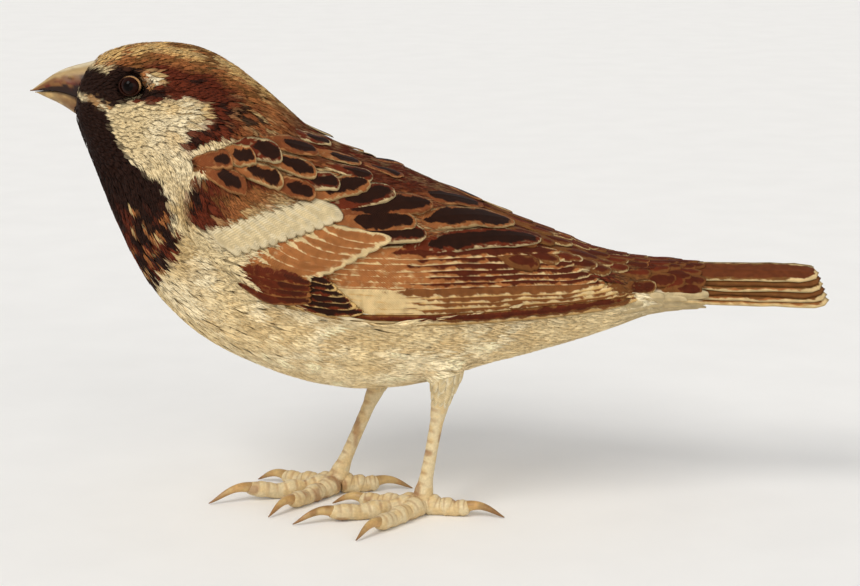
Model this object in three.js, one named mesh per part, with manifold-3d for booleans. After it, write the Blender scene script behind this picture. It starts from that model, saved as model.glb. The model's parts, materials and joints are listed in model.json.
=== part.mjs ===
// House sparrow, male, standing: a still model at life size.
// Millimetres. The bird faces -X, +Z is up, and its left side is towards -Y.
// Body and wings are lofts of upright sections along X. Each is cut into the parts
// that a person would name, and every cut leaves a small gap.

import * as THREE from 'three';
import { mergeVertices } from 'three/addons/utils/BufferGeometryUtils.js';
import Module from 'manifold-3d';

const wasm = await Module();
wasm.setup();

// ---------------------------------------------------------------- driving dimensions

const GAP = 0.3;                // between pieces that touch
const HALF_GAP = GAP / 2;
const BODY_STEPS = 27;          // sections along the body
const WING_STEPS = 16;          // sections along a wing
const WING_START = -46;
const WING_END = 40;
const RING = 20;                // points round one section of the body
const BIG = 120;                // side of the blocks that do the cutting
const BODY_END = 46;            // where the trunk stops and the tail feathers begin

// Profile of the body in the upright plane Y = 0: [x, z].
const BACK_LINE = [
  [-66.5, 77.2], [-65.5, 80.2], [-63.4, 83.5], [-60.4, 85.7], [-55.5, 87.4], [-48.5, 87.9],
  [-42, 86.9], [-35.5, 83.4], [-29, 78.0], [-23, 72.4], [-16.5, 69.0], [-8, 65.0],
  [4, 58.8], [16, 53.2], [27, 50.4], [36, 48.0], [46, 46.9],
];
const BELLY_LINE = [
  [-66.5, 76.4], [-65.9, 74.2], [-64.5, 70.8], [-62.7, 66.5], [-60.9, 61.0], [-57.8, 53.0],
  [-54.2, 45.2], [-50, 39.2], [-43, 32.6], [-33.5, 27.4], [-22, 23.4], [-12, 22.4],
  [-2, 23.4], [9, 26.6], [20, 29.5], [32, 33.1], [40, 36.5], [46, 37.8],
];
// Half widths along X: [x, half width].
const HEAD_WIDTH = [
  [-66.5, 1.2], [-65.3, 4.8], [-62.5, 7.6], [-58, 9.9], [-53, 11.4], [-46, 12.6], [-38, 13.0],
  [-28, 14.6],
];
const TRUNK_WIDTH = [
  [-66.5, 1.2], [-64.5, 4.4], [-60, 8.6], [-53, 13.4], [-44, 17.0], [-34, 19.0], [-22, 19.6],
  [-10, 19.0], [2, 17.0], [14, 13.8], [26, 10.4], [36, 8.6], [46, 8.4],
];
// How far below the back line, and above the belly line, a section is at its full width.
const BACK_ROUND = [[-66.5, 6], [-56, 10.5], [-40, 13], [-28, 17], [-12, 21], [14, 14], [36, 6],
  [46, 4]];
const BELLY_ROUND = [[-66.5, 5], [-58, 14], [-40, 21], [-12, 21], [14, 12], [36, 7], [46, 4]];
// Above this sloping line the head's widths hold, and below it the trunk's, until the neck ends.
const NECK_TURN = { x: -60, z: 66, slope: 0.27, blend: 8, endX: -26, fade: 8 };

// Outer face of the folded wings.
const WING_TOP = [[-46, 85], [-36, 82.5], [-29, 78.6], [-23, 73.2], [-16.5, 69.7], [-8, 66.0],
  [4, 60.6], [16, 55.0], [27, 50.9], [40, 46.6]];
const WING_WIDTH = [[-46, 17.2], [-40, 19.6], [-32, 21.4], [-20, 22.2], [-8, 21.6], [4, 19.6],
  [16, 16.6], [28, 12.8], [40, 9.6]];
const WING_ROUND = [[-46, 24], [-20, 21], [0, 18], [16, 12.5], [28, 8], [40, 4]];
const WING_THICK = [[-46, 3], [0, 2.6], [20, 1.8], [40, 1.1]];
const WING_FLOOR = 33;          // the wing blocks reach down to here before they are trimmed

const EYE = { x: -53.8, y: 9.2, z: 80.6, radius: 2.5 };

const BILL = {
  tipX: -73.9, tipZ: 78.6, baseX: -60.5, gapeZ: 76.9, width: 4.2, culmen: 84.6, gonys: 71.9,
  wave: 0.35, overbite: 0.9, steps: 7, sides: 10,
};

const TAIL = {
  rootX: BODY_END + GAP, tipX: 72.6, ridgeZ: 46.5, feathers: 6, step: 0.72, drop: 0.78, thick: 1.0,
  width: 6.4, rootShare: 0.85, overlap: 0.4, dip: 1.2, fork: 0.3,
  slope: THREE.MathUtils.degToRad(24), fan: THREE.MathUtils.degToRad(0.65),
};

const TARSUS_R = 1.15;
// Share of the way from heel to foot, and thickness there as a multiple of the shank's.
const SHANK = [[-0.1, 1.0], [0, 1.55], [0.1, 1.45], [0.24, 1.06], [0.55, 1.0], [0.8, 1.1],
  [0.94, 1.6], [1.04, 1.8]];
// Share of the way down the thigh, and its radius there.
const THIGH = [[0, 5.2], [0.3, 4.3], [0.6, 2.9], [0.85, 1.9], [1, 1.45]];
const LEGS = {
  left: {
    heel: [2.1, -9.2, 22.6], foot: [-1.4, -8.8, 2.9], thighTop: [2.4, -9.2, 30],
    toes: {
      middle: { tip: [-25.4, -16.4], claw: 7.0, arch: 1.9 },
      inner: { tip: [-18.6, -3.4], claw: 5.6, arch: 1.6 },
      outer: { tip: [-13.4, -25.8], claw: 6.4, arch: 1.7 },
      hind: { tip: [13.9, -12.2], claw: 6.6, arch: 1.7 },
    },
  },
  right: {
    heel: [-9.9, 7.2, 21.4], foot: [-18.0, 4.6, 2.9], thighTop: [-7, 7.6, 29],
    toes: {
      middle: { tip: [-42.2, -3.6], claw: 7.6, arch: 2.5 },
      inner: { tip: [-30.2, -12.0], claw: 6.4, arch: 1.7 },
      outer: { tip: [-34.0, 12.4], claw: 5.8, arch: 1.6 },
      hind: { tip: [-3.4, 6.4], claw: 6.6, arch: 1.7 },
    },
  },
};
const TOE = {
  start: 0.6, baseR: 1.85, tipR: 1.3, joints: 3, swell: 0.2, sink: 0.86, archFrom: 0.55,
  sides: 8, steps: 7,
};
const CLAW = { rootR: 1.15, tipR: 0.3, bow: 0.8, buried: 0.9, sides: 6, steps: 5 };

// ---------------------------------------------------------------- materials

const plumage = (color) => new THREE.MeshStandardMaterial({ color, roughness: 0.85, metalness: 0 });
const horn = (color) => new THREE.MeshStandardMaterial({ color, roughness: 0.45, metalness: 0 });
const CHESTNUT = 0x6b3216;
const BROWN = 0x7a5230;
const BUFF = 0xccb78c;
const CREAM = 0xd9caa6;
const DARK = 0x3a1c0c;
const OCHRE = 0xb98f57;

// ---------------------------------------------------------------- helpers

const clamp01 = (t) => Math.min(1, Math.max(0, t));
const smooth = (t) => { const u = clamp01(t); return u * u * (3 - 2 * u); };
const mix = (a, b, t) => a + (b - a) * t;

// Smooth curve through [x, value] pairs, read at x.
function along(line, x) {
  const last = line.length - 1;
  const at = Math.min(Math.max(x, line[0][0]), line[last][0]);
  let i = 0;
  while (i < last - 1 && at > line[i + 1][0]) i += 1;
  const slope = (k) => {
    const a = line[Math.max(k - 1, 0)];
    const b = line[Math.min(k + 1, last)];
    return (b[1] - a[1]) / (b[0] - a[0]);
  };
  const [x0, v0] = line[i];
  const [x1, v1] = line[i + 1];
  const h = x1 - x0;
  const t = (at - x0) / h;
  const t2 = t * t;
  const t3 = t2 * t;
  return v0 * (2 * t3 - 3 * t2 + 1) + slope(i) * h * (t3 - 2 * t2 + t)
    + v1 * (3 * t2 - 2 * t3) + slope(i + 1) * h * (t3 - t2);
}

// Closed mesh over rings of equally many points, with a fan over each end.
function loft(rings) {
  const count = rings[0].length;
  const points = rings.flat();
  const middle = (ring) => ring.reduce((sum, p) => sum.add(p), new THREE.Vector3()).divideScalar(count);
  points.push(middle(rings[0]), middle(rings[rings.length - 1]));
  const faces = [];
  for (let i = 0; i < rings.length - 1; i += 1) {
    for (let j = 0; j < count; j += 1) {
      const a = i * count + j;
      const b = i * count + ((j + 1) % count);
      faces.push(a, b, b + count, a, b + count, a + count);
    }
  }
  const end = (rings.length - 1) * count;
  for (let j = 0; j < count; j += 1) {
    const next = (j + 1) % count;
    faces.push(points.length - 2, next, j);
    faces.push(points.length - 1, end + j, end + next);
  }
  const geometry = new THREE.BufferGeometry().setFromPoints(points);
  geometry.setIndex(faces);
  return geometry;
}

function volumeOf(position, index) {
  let sum = 0;
  const [a, b, c] = [new THREE.Vector3(), new THREE.Vector3(), new THREE.Vector3()];
  for (let i = 0; i < index.count; i += 3) {
    a.fromBufferAttribute(position, index.getX(i));
    b.fromBufferAttribute(position, index.getX(i + 1));
    c.fromBufferAttribute(position, index.getX(i + 2));
    sum += a.dot(b.cross(c)) / 6;
  }
  return sum;
}

// A geometry as a solid for joins and cuts, turned so that its faces point out.
function solid(geometry) {
  const bare = geometry.clone();
  bare.deleteAttribute('normal');
  bare.deleteAttribute('uv');
  const merged = mergeVertices(bare, 1e-5);
  const index = Array.from(merged.index.array);
  if (volumeOf(merged.attributes.position, merged.index) < 0) index.reverse();
  return new wasm.Manifold(new wasm.Mesh({
    numProp: 3,
    vertProperties: new Float32Array(merged.attributes.position.array),
    triVerts: new Uint32Array(index),
  }));
}

function geometryOf(piece) {
  const mesh = piece.getMesh();
  const geometry = new THREE.BufferGeometry();
  geometry.setAttribute('position', new THREE.BufferAttribute(new Float32Array(mesh.vertProperties), 3));
  geometry.setIndex(Array.from(mesh.triVerts));
  geometry.computeVertexNormals();
  return geometry;
}

// Everything on one side of an upright plane through two points of the profile [x, z].
// Looking from the first point to the second, with +Z up and +X right, it keeps the left.
function leftOf([x0, z0], [x1, z1]) {
  const angle = Math.atan2(z1 - z0, x1 - x0);
  const block = new THREE.BoxGeometry(2 * BIG, 2 * BIG, BIG);
  block.translate(0, 0, BIG / 2 + HALF_GAP);
  block.rotateY(-angle);
  block.translate((x0 + x1) / 2, 0, (z0 + z1) / 2);
  return solid(block);
}
const rightOf = (a, b) => leftOf(b, a);

// One half of space in Y: side is -1 for the bird's left and 1 for its right.
function halfSpace(side) {
  const block = new THREE.BoxGeometry(2 * BIG, BIG, 2 * BIG);
  block.translate(0, side * (BIG / 2 + HALF_GAP), 0);
  return solid(block);
}

// A closed profile outline, drawn through points [x, z], as a block across the whole width.
function profileBlock(points) {
  const curve = new THREE.CatmullRomCurve3(points.map(([x, z]) => new THREE.Vector3(x, z, 0)), true);
  const spots = curve.getSpacedPoints(points.length * 2).slice(0, -1);
  const shape = new THREE.Shape(spots.map((spot) => new THREE.Vector2(spot.x, spot.y)));
  const block = new THREE.ExtrudeGeometry(shape, { depth: BIG, bevelEnabled: false });
  block.rotateX(Math.PI / 2);
  block.translate(0, BIG / 2, 0);
  return solid(block);
}

const common = (first, ...others) => others.reduce((piece, other) => piece.intersect(other), first);

// A cut can leave a crumb beside the piece itself, so only the largest body is kept.
const bigger = (a, b) => (b.volume() > a.volume() ? b : a);
const largest = (piece) => piece.decompose().reduce(bigger);

const parts = [];
function addPart(name, piece, material) {
  parts.push({ name, geometry: geometryOf(largest(piece)), material });
}

// ---------------------------------------------------------------- body and wing lofts

const quarterRound = (u) => (u >= 1 ? 1 : Math.sqrt(Math.max(0, 1 - (1 - u) ** 2)));

function bodyHalfWidth(x, z) {
  const turn = NECK_TURN.z + NECK_TURN.slope * (x - NECK_TURN.x);
  const above = smooth(0.5 + (z - turn) / (2 * NECK_TURN.blend));
  const share = above * smooth((NECK_TURN.endX - x) / NECK_TURN.fade);
  return mix(along(TRUNK_WIDTH, x), along(HEAD_WIDTH, x), share);
}

// One upright section: the top, the bottom, their roundings, and the width at each height.
function section(x, top, bottom, topRound, bottomRound, widthAt, grow) {
  const high = top + grow;
  const low = bottom - grow;
  const ring = [];
  for (let j = 0; j < RING; j += 1) {
    const angle = (2 * Math.PI * j) / RING;
    const z = (high + low) / 2 + ((high - low) / 2) * Math.cos(angle);
    const fit = Math.min(1, (high - low) / (topRound + bottomRound));
    const topCap = quarterRound((high - z) / (topRound * fit));
    const bottomCap = quarterRound((z - low) / (bottomRound * fit));
    const y = Math.sign(Math.sin(angle)) * (widthAt(x, z) + grow) * topCap * bottomCap;
    ring.push(new THREE.Vector3(x, y, z));
  }
  return ring;
}

// Stations along X: close together where the face rounds off, then evenly spaced.
function stations(start, end, count) {
  const list = [];
  for (let i = 0; i < count; i += 1) {
    const t = i / (count - 1);
    list.push(start + (end - start) * (0.45 * t * t + 0.55 * t));
  }
  return list;
}

function bodyLoft(grow) {
  const rings = stations(BACK_LINE[0][0], BODY_END, BODY_STEPS).map((x) => section(
    x, along(BACK_LINE, x), along(BELLY_LINE, x), along(BACK_ROUND, x), along(BELLY_ROUND, x),
    bodyHalfWidth, grow,
  ));
  return solid(loft(rings));
}

function wingLoft(inset) {
  const rings = stations(WING_START, WING_END, WING_STEPS).map((x) => {
    const less = inset ? along(WING_THICK, x) : 0;
    const width = () => along(WING_WIDTH, x);
    return section(x, along(WING_TOP, x), WING_FLOOR, along(WING_ROUND, x), 1, width, -less);
  });
  return solid(loft(rings));
}

// ---------------------------------------------------------------- bill and eyes

// The bill is two tapering shells that close on the cutting edge between them.
const cuttingEdge = (t) => mix(BILL.gapeZ, BILL.tipZ, smooth(1.4 * t)) + BILL.wave * Math.sin(Math.PI * t);

function mandible(upper, grow = 0) {
  const tip = upper ? BILL.tipX : BILL.tipX + BILL.overbite;
  const rings = [];
  for (let i = 0; i <= BILL.steps; i += 1) {
    const t = i / BILL.steps;
    const x = mix(BILL.baseX + grow, tip, t);
    const edge = cuttingEdge(t) + (upper ? HALF_GAP - grow : grow - HALF_GAP);
    const taper = Math.max(0.05, 1 - t ** (upper ? 1.15 : 1.5));
    const height = (upper ? BILL.culmen - BILL.gapeZ : BILL.gapeZ - BILL.gonys) * taper + 2 * grow;
    const width = BILL.width * Math.max(0.06, 1 - t ** 1.5) * (upper ? 1 : 0.93) + grow;
    const ring = [];
    for (let j = 0; j < BILL.sides; j += 1) {
      const angle = (Math.PI * j) / (BILL.sides - 1);
      const rise = Math.sin(angle) ** 0.9 * height;
      ring.push(new THREE.Vector3(x, Math.cos(angle) * width, edge + (upper ? rise : -rise)));
    }
    rings.push(ring);
  }
  return solid(loft(rings));
}

function ball(x, y, z, radius, detail) {
  const geometry = new THREE.IcosahedronGeometry(radius, detail);
  geometry.translate(x, y, z);
  return solid(geometry);
}

// ---------------------------------------------------------------- tail

// One tail feather seen from above: a long blade with a rounded tip, laid on the slope.
function tailFeather(rank, side) {
  const tip = TAIL.tipX + TAIL.fork * rank;
  const length = tip - TAIL.rootX;
  const half = TAIL.width / 2;
  const root = half * TAIL.rootShare;
  const shape = new THREE.Shape();
  shape.moveTo(0, -root);
  shape.lineTo(length - half, -half);
  shape.bezierCurveTo(length - 1.2, -half, length, -half * 0.7, length, 0.2);
  shape.bezierCurveTo(length, half * 0.8, length - 1.6, half, length - half, half);
  shape.lineTo(0, root);
  const flat = { depth: TAIL.thick, bevelEnabled: false, curveSegments: 3 };
  const blade = new THREE.ExtrudeGeometry(shape, flat);
  blade.translate(0, 0, -TAIL.thick);
  blade.rotateZ(side * TAIL.fan * rank);
  blade.rotateX(-side * TAIL.slope);
  const y = side * (half - TAIL.overlap + TAIL.step * rank);
  blade.translate(TAIL.rootX, y, TAIL.ridgeZ - TAIL.dip - TAIL.drop * rank);
  return solid(blade);
}

function tailHalf(side) {
  let half = tailFeather(0, side);
  for (let rank = 1; rank < TAIL.feathers; rank += 1) half = half.add(tailFeather(rank, side));
  return half.intersect(halfSpace(side));
}

// ---------------------------------------------------------------- legs

// Round-sided limb along points, each with its own radius. With a flat, it never goes
// below z = 0, and what would be lower is a small flat on the floor.
function limb(path, radii, sides, flat = true) {
  const rings = path.map((point, i) => {
    const before = path[Math.max(i - 1, 0)];
    const after = path[Math.min(i + 1, path.length - 1)];
    const ahead = after.clone().sub(before).normalize();
    const across = new THREE.Vector3(0, 0, 1).cross(ahead);
    if (across.length() < 0.3) across.set(0, 1, 0);
    across.normalize();
    const up = ahead.clone().cross(across).normalize();
    const ring = [];
    for (let j = 0; j < sides; j += 1) {
      const angle = (2 * Math.PI * (j + 0.5)) / sides;
      const spot = point.clone()
        .addScaledVector(across, Math.cos(angle) * radii[i])
        .addScaledVector(up, Math.sin(angle) * radii[i]);
      if (flat) spot.z = Math.max(0, spot.z);
      ring.push(spot);
    }
    return ring;
  });
  return loft(rings);
}

// A toe runs from the foot's ball to its last joint, low on the floor with a slight arch,
// and swells at each joint. Its claw carries on and bows down to the floor.
function toePath(leg, toe, grow = 0) {
  const foot = new THREE.Vector3(leg.foot[0], leg.foot[1], 0);
  const tip = new THREE.Vector3(toe.tip[0], toe.tip[1], 0);
  const ahead = tip.clone().sub(foot).normalize();
  const reach = tip.distanceTo(foot) - toe.claw;
  const path = [];
  const radii = [];
  for (let i = 0; i <= TOE.steps; i += 1) {
    const t = i / TOE.steps;
    const joint = 0.5 - 0.5 * Math.cos(2 * Math.PI * TOE.joints * t);
    const radius = mix(TOE.baseR, TOE.tipR, t) * (1 + TOE.swell * joint * (1 - 0.4 * t));
    const spot = foot.clone().addScaledVector(ahead, mix(TOE.start - grow, reach + grow, t));
    const low = radius * TOE.sink;
    spot.z = mix(low, toe.arch, 0.9 * smooth((t - TOE.archFrom) / (1 - TOE.archFrom)));
    path.push(spot);
    radii.push((i === TOE.steps ? radius * 0.8 : radius) + grow);
  }
  return { path, radii, ahead, reach, foot };
}

function makeToe(leg, toe, grow = 0) {
  const { path, radii } = toePath(leg, toe, grow);
  return solid(limb(path, radii, TOE.sides));
}

function makeClaw(leg, toe) {
  const { path, ahead, reach, foot } = toePath(leg, toe);
  const rootZ = path[path.length - 1].z + 0.15;
  const claw = [];
  const radii = [];
  for (let i = 0; i <= CLAW.steps; i += 1) {
    const t = i / CLAW.steps;
    const radius = mix(CLAW.rootR, CLAW.tipR, t ** 0.8);
    const spot = foot.clone().addScaledVector(ahead, mix(reach - CLAW.buried, reach + toe.claw, t));
    spot.z = mix(rootZ, radius * 0.8, smooth(t)) + CLAW.bow * Math.sin(Math.PI * t);
    claw.push(spot);
    radii.push(radius);
  }
  return solid(limb(claw, radii, CLAW.sides));
}

// The shank: heel knob, slim middle, and a ball where the toes meet.
function makeTarsus(leg, grow = 0) {
  const heel = new THREE.Vector3(...leg.heel);
  const foot = new THREE.Vector3(...leg.foot);
  const path = SHANK.map(([t]) => heel.clone().lerp(foot, t));
  path[path.length - 1].z -= grow;
  path[0].z += grow;
  const radii = SHANK.map(([, scale]) => scale * TARSUS_R + grow);
  return solid(limb(path, radii, 10));
}

// The feathered thigh narrows from the flank to just above the heel.
function makeThigh(leg) {
  const heel = new THREE.Vector3(...leg.heel);
  const top = new THREE.Vector3(...leg.thighTop);
  const low = heel.clone().lerp(top, 0.12);
  const path = THIGH.map(([t]) => top.clone().lerp(low, t));
  return solid(limb(path, THIGH.map(([, radius]) => radius), 12, false));
}

// ---------------------------------------------------------------- build

const body = bodyLoft(0);
const bodyGrown = bodyLoft(GAP);
const tail = { left: tailHalf(-1), right: tailHalf(1) };

const billUpper = mandible(true);
const billLower = mandible(false);
const SIDES = { left: -1, right: 1 };
let flesh = body.subtract(mandible(true, GAP)).subtract(mandible(false, GAP));
for (const side of Object.values(SIDES)) {
  flesh = flesh.subtract(ball(EYE.x, side * EYE.y, EYE.z, EYE.radius + GAP, 1));
}

// The trunk is cut round the top of each shank.
const legs = {};
for (const [name, leg] of Object.entries(LEGS)) {
  const room = makeTarsus(leg, GAP);
  legs[name] = { tarsus: makeTarsus(leg), thigh: makeThigh(leg).subtract(room).subtract(bodyGrown), room };
  flesh = flesh.subtract(room);
}

// Cuts of the body, as lines of the profile.
const CUT = {
  headNeck: [[-62.5, 63.5], [-30, 81.5]],
  neckTrunk: [[-58.5, 50.5], [-19, 71.5]],
  breastBelly: [[-23, 20], [-27, 60]],
  backBelly: [[-60, 58], [30, 45.5]],
  bellyVent: [[13, 20], [9, 60]],
  rumpVent: [[-10, 47.8], [60, 43.2]],
};
addPart('head', flesh.intersect(leftOf(...CUT.headNeck)), plumage(CHESTNUT));
addPart('neck', common(flesh, rightOf(...CUT.headNeck), leftOf(...CUT.neckTrunk)), plumage(CREAM));
const trunk = flesh.intersect(rightOf(...CUT.neckTrunk));
const upper = leftOf(...CUT.backBelly);
const lower = rightOf(...CUT.backBelly);
const rear = rightOf(...CUT.bellyVent);
const front = leftOf(...CUT.bellyVent);
addPart('back', common(trunk, upper, front), plumage(BROWN));
addPart('breast', common(trunk, lower, leftOf(...CUT.breastBelly)), plumage(CREAM));
addPart('belly', common(trunk, lower, rightOf(...CUT.breastBelly), front), plumage(CREAM));
addPart('rump', common(trunk, leftOf(...CUT.rumpVent), rear), plumage(BROWN));
addPart('vent', common(trunk, rightOf(...CUT.rumpVent), rear), plumage(BUFF));

addPart('bill_upper', billUpper, horn(0xb09566));
addPart('bill_lower', billLower, horn(0xa8885a));
for (const [name, side] of Object.entries(SIDES)) {
  addPart(`eye_${name}`, ball(EYE.x, side * EYE.y, EYE.z, EYE.radius, 1),
    new THREE.MeshStandardMaterial({ color: 0x120804, roughness: 0.08, metalness: 0 }));
  addPart(`tail_${name}`, tail[name], plumage(DARK));
}

// Wings: a shell between the outer face and the flank, trimmed to the wing's outline.
const WING_OUTLINE = [
  [-44.4, 58.5], [-43.6, 63.0], [-40.8, 67.2], [-36, 69.6], [-28, 69.6], [-19, 67.6], [-9, 65.0],
  [0, 65.0], [12, 61.0], [22, 54.6], [30, 48.4], [38.2, 43.6], [36, 42.0], [23.5, 41.4], [9, 39.6],
  [-9, 38.3], [-20, 40.4], [-30, 44.4], [-38, 50.0],
];
const WING_CUT = {
  upperLower: [[-44, 66.2], [30, 49.2]],
  scapularTertial: [[-4, 40], [2, 70]],
  shoulderCovert: [[-34, 40], [-26, 70]],
  covertFlight: [[-9, 30], [-3, 70]],
  flight: [[-20, 46.6], [40, 44.6]],
};
const wingShell = wingLoft(false).subtract(wingLoft(true)).subtract(bodyGrown)
  .intersect(profileBlock(WING_OUTLINE));
for (const [name, side] of Object.entries(SIDES)) {
  const wing = wingShell.intersect(halfSpace(side));
  const top = wing.intersect(leftOf(...WING_CUT.upperLower));
  const low = wing.intersect(rightOf(...WING_CUT.upperLower));
  const flight = low.intersect(rightOf(...WING_CUT.covertFlight));
  addPart(`scapulars_${name}`, top.intersect(leftOf(...WING_CUT.scapularTertial)), plumage(BROWN));
  addPart(`tertials_${name}`, top.intersect(rightOf(...WING_CUT.scapularTertial)), plumage(DARK));
  addPart(`wing_shoulder_${name}`, low.intersect(leftOf(...WING_CUT.shoulderCovert)), plumage(CHESTNUT));
  addPart(`wing_coverts_${name}`, common(low, rightOf(...WING_CUT.shoulderCovert),
    leftOf(...WING_CUT.covertFlight)), plumage(BROWN));
  addPart(`secondaries_${name}`, flight.intersect(leftOf(...WING_CUT.flight)), plumage(BROWN));
  addPart(`primaries_${name}`, flight.intersect(rightOf(...WING_CUT.flight)), plumage(DARK));
}

// Feet: each toe is cut round the shank's ball and round the toes before it.
for (const [name, leg] of Object.entries(LEGS)) {
  addPart(`thigh_${name}`, legs[name].thigh, plumage(BUFF));
  addPart(`tarsus_${name}`, legs[name].tarsus, horn(OCHRE));
  let taken = legs[name].room;
  for (const [which, toe] of Object.entries(leg.toes)) {
    const room = makeToe(leg, toe, GAP);
    addPart(`toe_${which}_${name}`, makeToe(leg, toe).subtract(taken), horn(OCHRE));
    addPart(`claw_${which}_${name}`, makeClaw(leg, toe).subtract(room), horn(DARK));
    taken = taken.add(room);
  }
}

// ---------------------------------------------------------------- scene

// The origin is the middle of the bounding box's floor.
const box = new THREE.Box3();
for (const { geometry } of parts) {
  geometry.computeBoundingBox();
  box.union(geometry.boundingBox);
}
const group = new THREE.Group();
group.position.set(-(box.min.x + box.max.x) / 2, -(box.min.y + box.max.y) / 2, -box.min.z);
for (const { name, geometry, material } of parts) {
  const mesh = new THREE.Mesh(geometry, material);
  mesh.name = name;
  group.add(mesh);
}

export default group;
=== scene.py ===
# %% [markdown]
# # A male house sparrow, standing
# The bird is a still, life-size model. Its bones are never seen: what shows is a skin
# dressed in feathers, with a horn bill, glossy eyes and scaled legs. Each cell below makes
# one of those and says why it is made that way.

# %% Load the frame
import json
import math

import bpy
import bmesh
import numpy as np
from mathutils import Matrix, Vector
from mathutils.bvhtree import BVHTree

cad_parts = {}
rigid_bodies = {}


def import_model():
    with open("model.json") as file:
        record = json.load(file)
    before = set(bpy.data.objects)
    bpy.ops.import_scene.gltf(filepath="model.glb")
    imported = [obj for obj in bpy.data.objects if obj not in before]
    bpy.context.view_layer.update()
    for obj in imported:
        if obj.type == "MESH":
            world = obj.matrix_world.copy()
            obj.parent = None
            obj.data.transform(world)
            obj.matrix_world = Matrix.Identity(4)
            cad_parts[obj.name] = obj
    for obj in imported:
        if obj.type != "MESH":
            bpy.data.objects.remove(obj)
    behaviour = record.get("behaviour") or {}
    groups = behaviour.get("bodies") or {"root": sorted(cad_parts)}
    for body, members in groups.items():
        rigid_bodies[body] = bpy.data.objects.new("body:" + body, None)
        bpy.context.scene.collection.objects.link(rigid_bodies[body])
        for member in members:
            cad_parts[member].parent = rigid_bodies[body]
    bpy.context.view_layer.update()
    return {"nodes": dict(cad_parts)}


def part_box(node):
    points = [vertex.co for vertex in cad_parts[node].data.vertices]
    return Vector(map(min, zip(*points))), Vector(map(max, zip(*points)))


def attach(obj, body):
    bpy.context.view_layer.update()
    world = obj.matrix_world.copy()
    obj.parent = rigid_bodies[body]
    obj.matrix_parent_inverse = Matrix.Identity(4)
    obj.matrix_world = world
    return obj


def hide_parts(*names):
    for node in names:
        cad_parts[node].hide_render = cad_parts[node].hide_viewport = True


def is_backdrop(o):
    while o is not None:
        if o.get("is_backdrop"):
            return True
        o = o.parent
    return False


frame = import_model()
MM = 0.001
EYE_X = -53.8        # the eye's place along the bird, from the middle of its length
eye_middle = sum((corner for side in ("left", "right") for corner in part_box(f"eye_{side}")), Vector()) / 4
# The bird's own frame is in millimetres, with Y = 0 on its middle plane.
SHIFT = np.array([eye_middle.x / MM - EYE_X, eye_middle.y / MM, 0.0])
scene = bpy.context.scene
collection = scene.collection
print("frame loaded, shift", SHIFT.round(3))

# %% [markdown]
# A studio has a pale floor that runs far back, a wide soft light above the viewer's
# left shoulder, a weaker one from the other side, and an even pale room. Lamps close by
# would leave the floor bright near the bird and grey behind it, so these are far away and
# wide: the floor stays even, shadows have soft edges and feathers keep their own colour.

# %% Floor, lights and camera
CAMERA_AT, CAMERA_AIM, CAMERA_LENS = (0.0, -400.0, 125.0), (0.0, 0.0, 40.5), 90.79
LIGHT_AIM = (0, 0, 45)
# Each lamp's place, width in degrees, strength and colour.
KEY_LIGHT = ((-420, -520, 700), 30, 1.6, (1.0, 0.98, 0.95))
FILL_LIGHT = ((250, -600, 100), 70, 1.45, (1.0, 0.99, 0.97))
ROOM_COLOUR, ROOM_STRENGTH = (0.93, 0.94, 0.95, 1), 0.6
FLOOR_COLOUR, FLOOR_HALF = (0.88, 0.865, 0.84), 3.0     # half its side in metres


def to_row(points):
    """Bird's millimetres to the scene's metres."""
    return (np.asarray(points, float) + SHIFT) * MM


def aim(obj, place, target):
    """Puts a lamp or camera at a place and turns it towards a target, in bird millimetres."""
    start, end = Vector(to_row(place)), Vector(to_row(target))
    obj.location = start
    obj.rotation_euler = (end - start).to_track_quat("-Z", "Y").to_euler()


def placed(name, data):
    """A new object at the origin of the scene."""
    obj = bpy.data.objects.new(name, data)
    collection.objects.link(obj)
    return obj


def soft_sun(name, place, width, strength, colour):
    """A far lamp; its width in degrees is how soft its shadows are."""
    lamp = bpy.data.lights.new(name, "SUN")
    lamp.angle, lamp.energy, lamp.color = math.radians(width), strength, colour
    aim(placed(name, lamp), place, LIGHT_AIM)


camera = placed("camera", bpy.data.cameras.new("camera"))
camera.data.lens, camera.data.sensor_width = CAMERA_LENS, 36.0
camera.data.clip_start, camera.data.clip_end = 0.01, 20.0
aim(camera, CAMERA_AT, CAMERA_AIM)
scene.camera = camera
soft_sun("key_light", *KEY_LIGHT)
soft_sun("fill_light", *FILL_LIGHT)

world = bpy.data.worlds.new("studio")
world.use_nodes = True
room = world.node_tree.nodes["Background"].inputs
room["Color"].default_value, room["Strength"].default_value = ROOM_COLOUR, ROOM_STRENGTH
scene.world = world
scene.view_settings.view_transform = "Standard"


def new_object(name, vertices, faces, rounded=True):
    """A mesh object at the origin, from points in metres."""
    mesh = bpy.data.meshes.new(name)
    mesh.from_pydata([tuple(v) for v in vertices], [], [tuple(f) for f in faces])
    mesh.validate()
    mesh.update()
    if rounded:
        mesh.polygons.foreach_set("use_smooth", [True] * len(mesh.polygons))
    return placed(name, mesh)


def feed(tree, socket, value):
    """Sets a plain value on a socket, or links another node's output to it."""
    if isinstance(value, bpy.types.NodeSocket):
        tree.links.new(value, socket)
    else:
        socket.default_value = value


def add_node(tree, kind, inputs=None, **settings):
    """A new node: settings are its own, inputs go to its sockets by name or number."""
    made = tree.nodes.new(kind)
    for key, value in settings.items():
        setattr(made, key, value)
    for key, value in (inputs or {}).items():
        feed(tree, made.inputs[key], value)
    return made


def started(name, surface):
    """A new material and its node tree, with the surface's own values set."""
    material = bpy.data.materials.new(name)
    material.use_nodes = True
    for key, value in surface.items():
        material.node_tree.nodes["Principled BSDF"].inputs[key].default_value = value
    return material, material.node_tree


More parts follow.
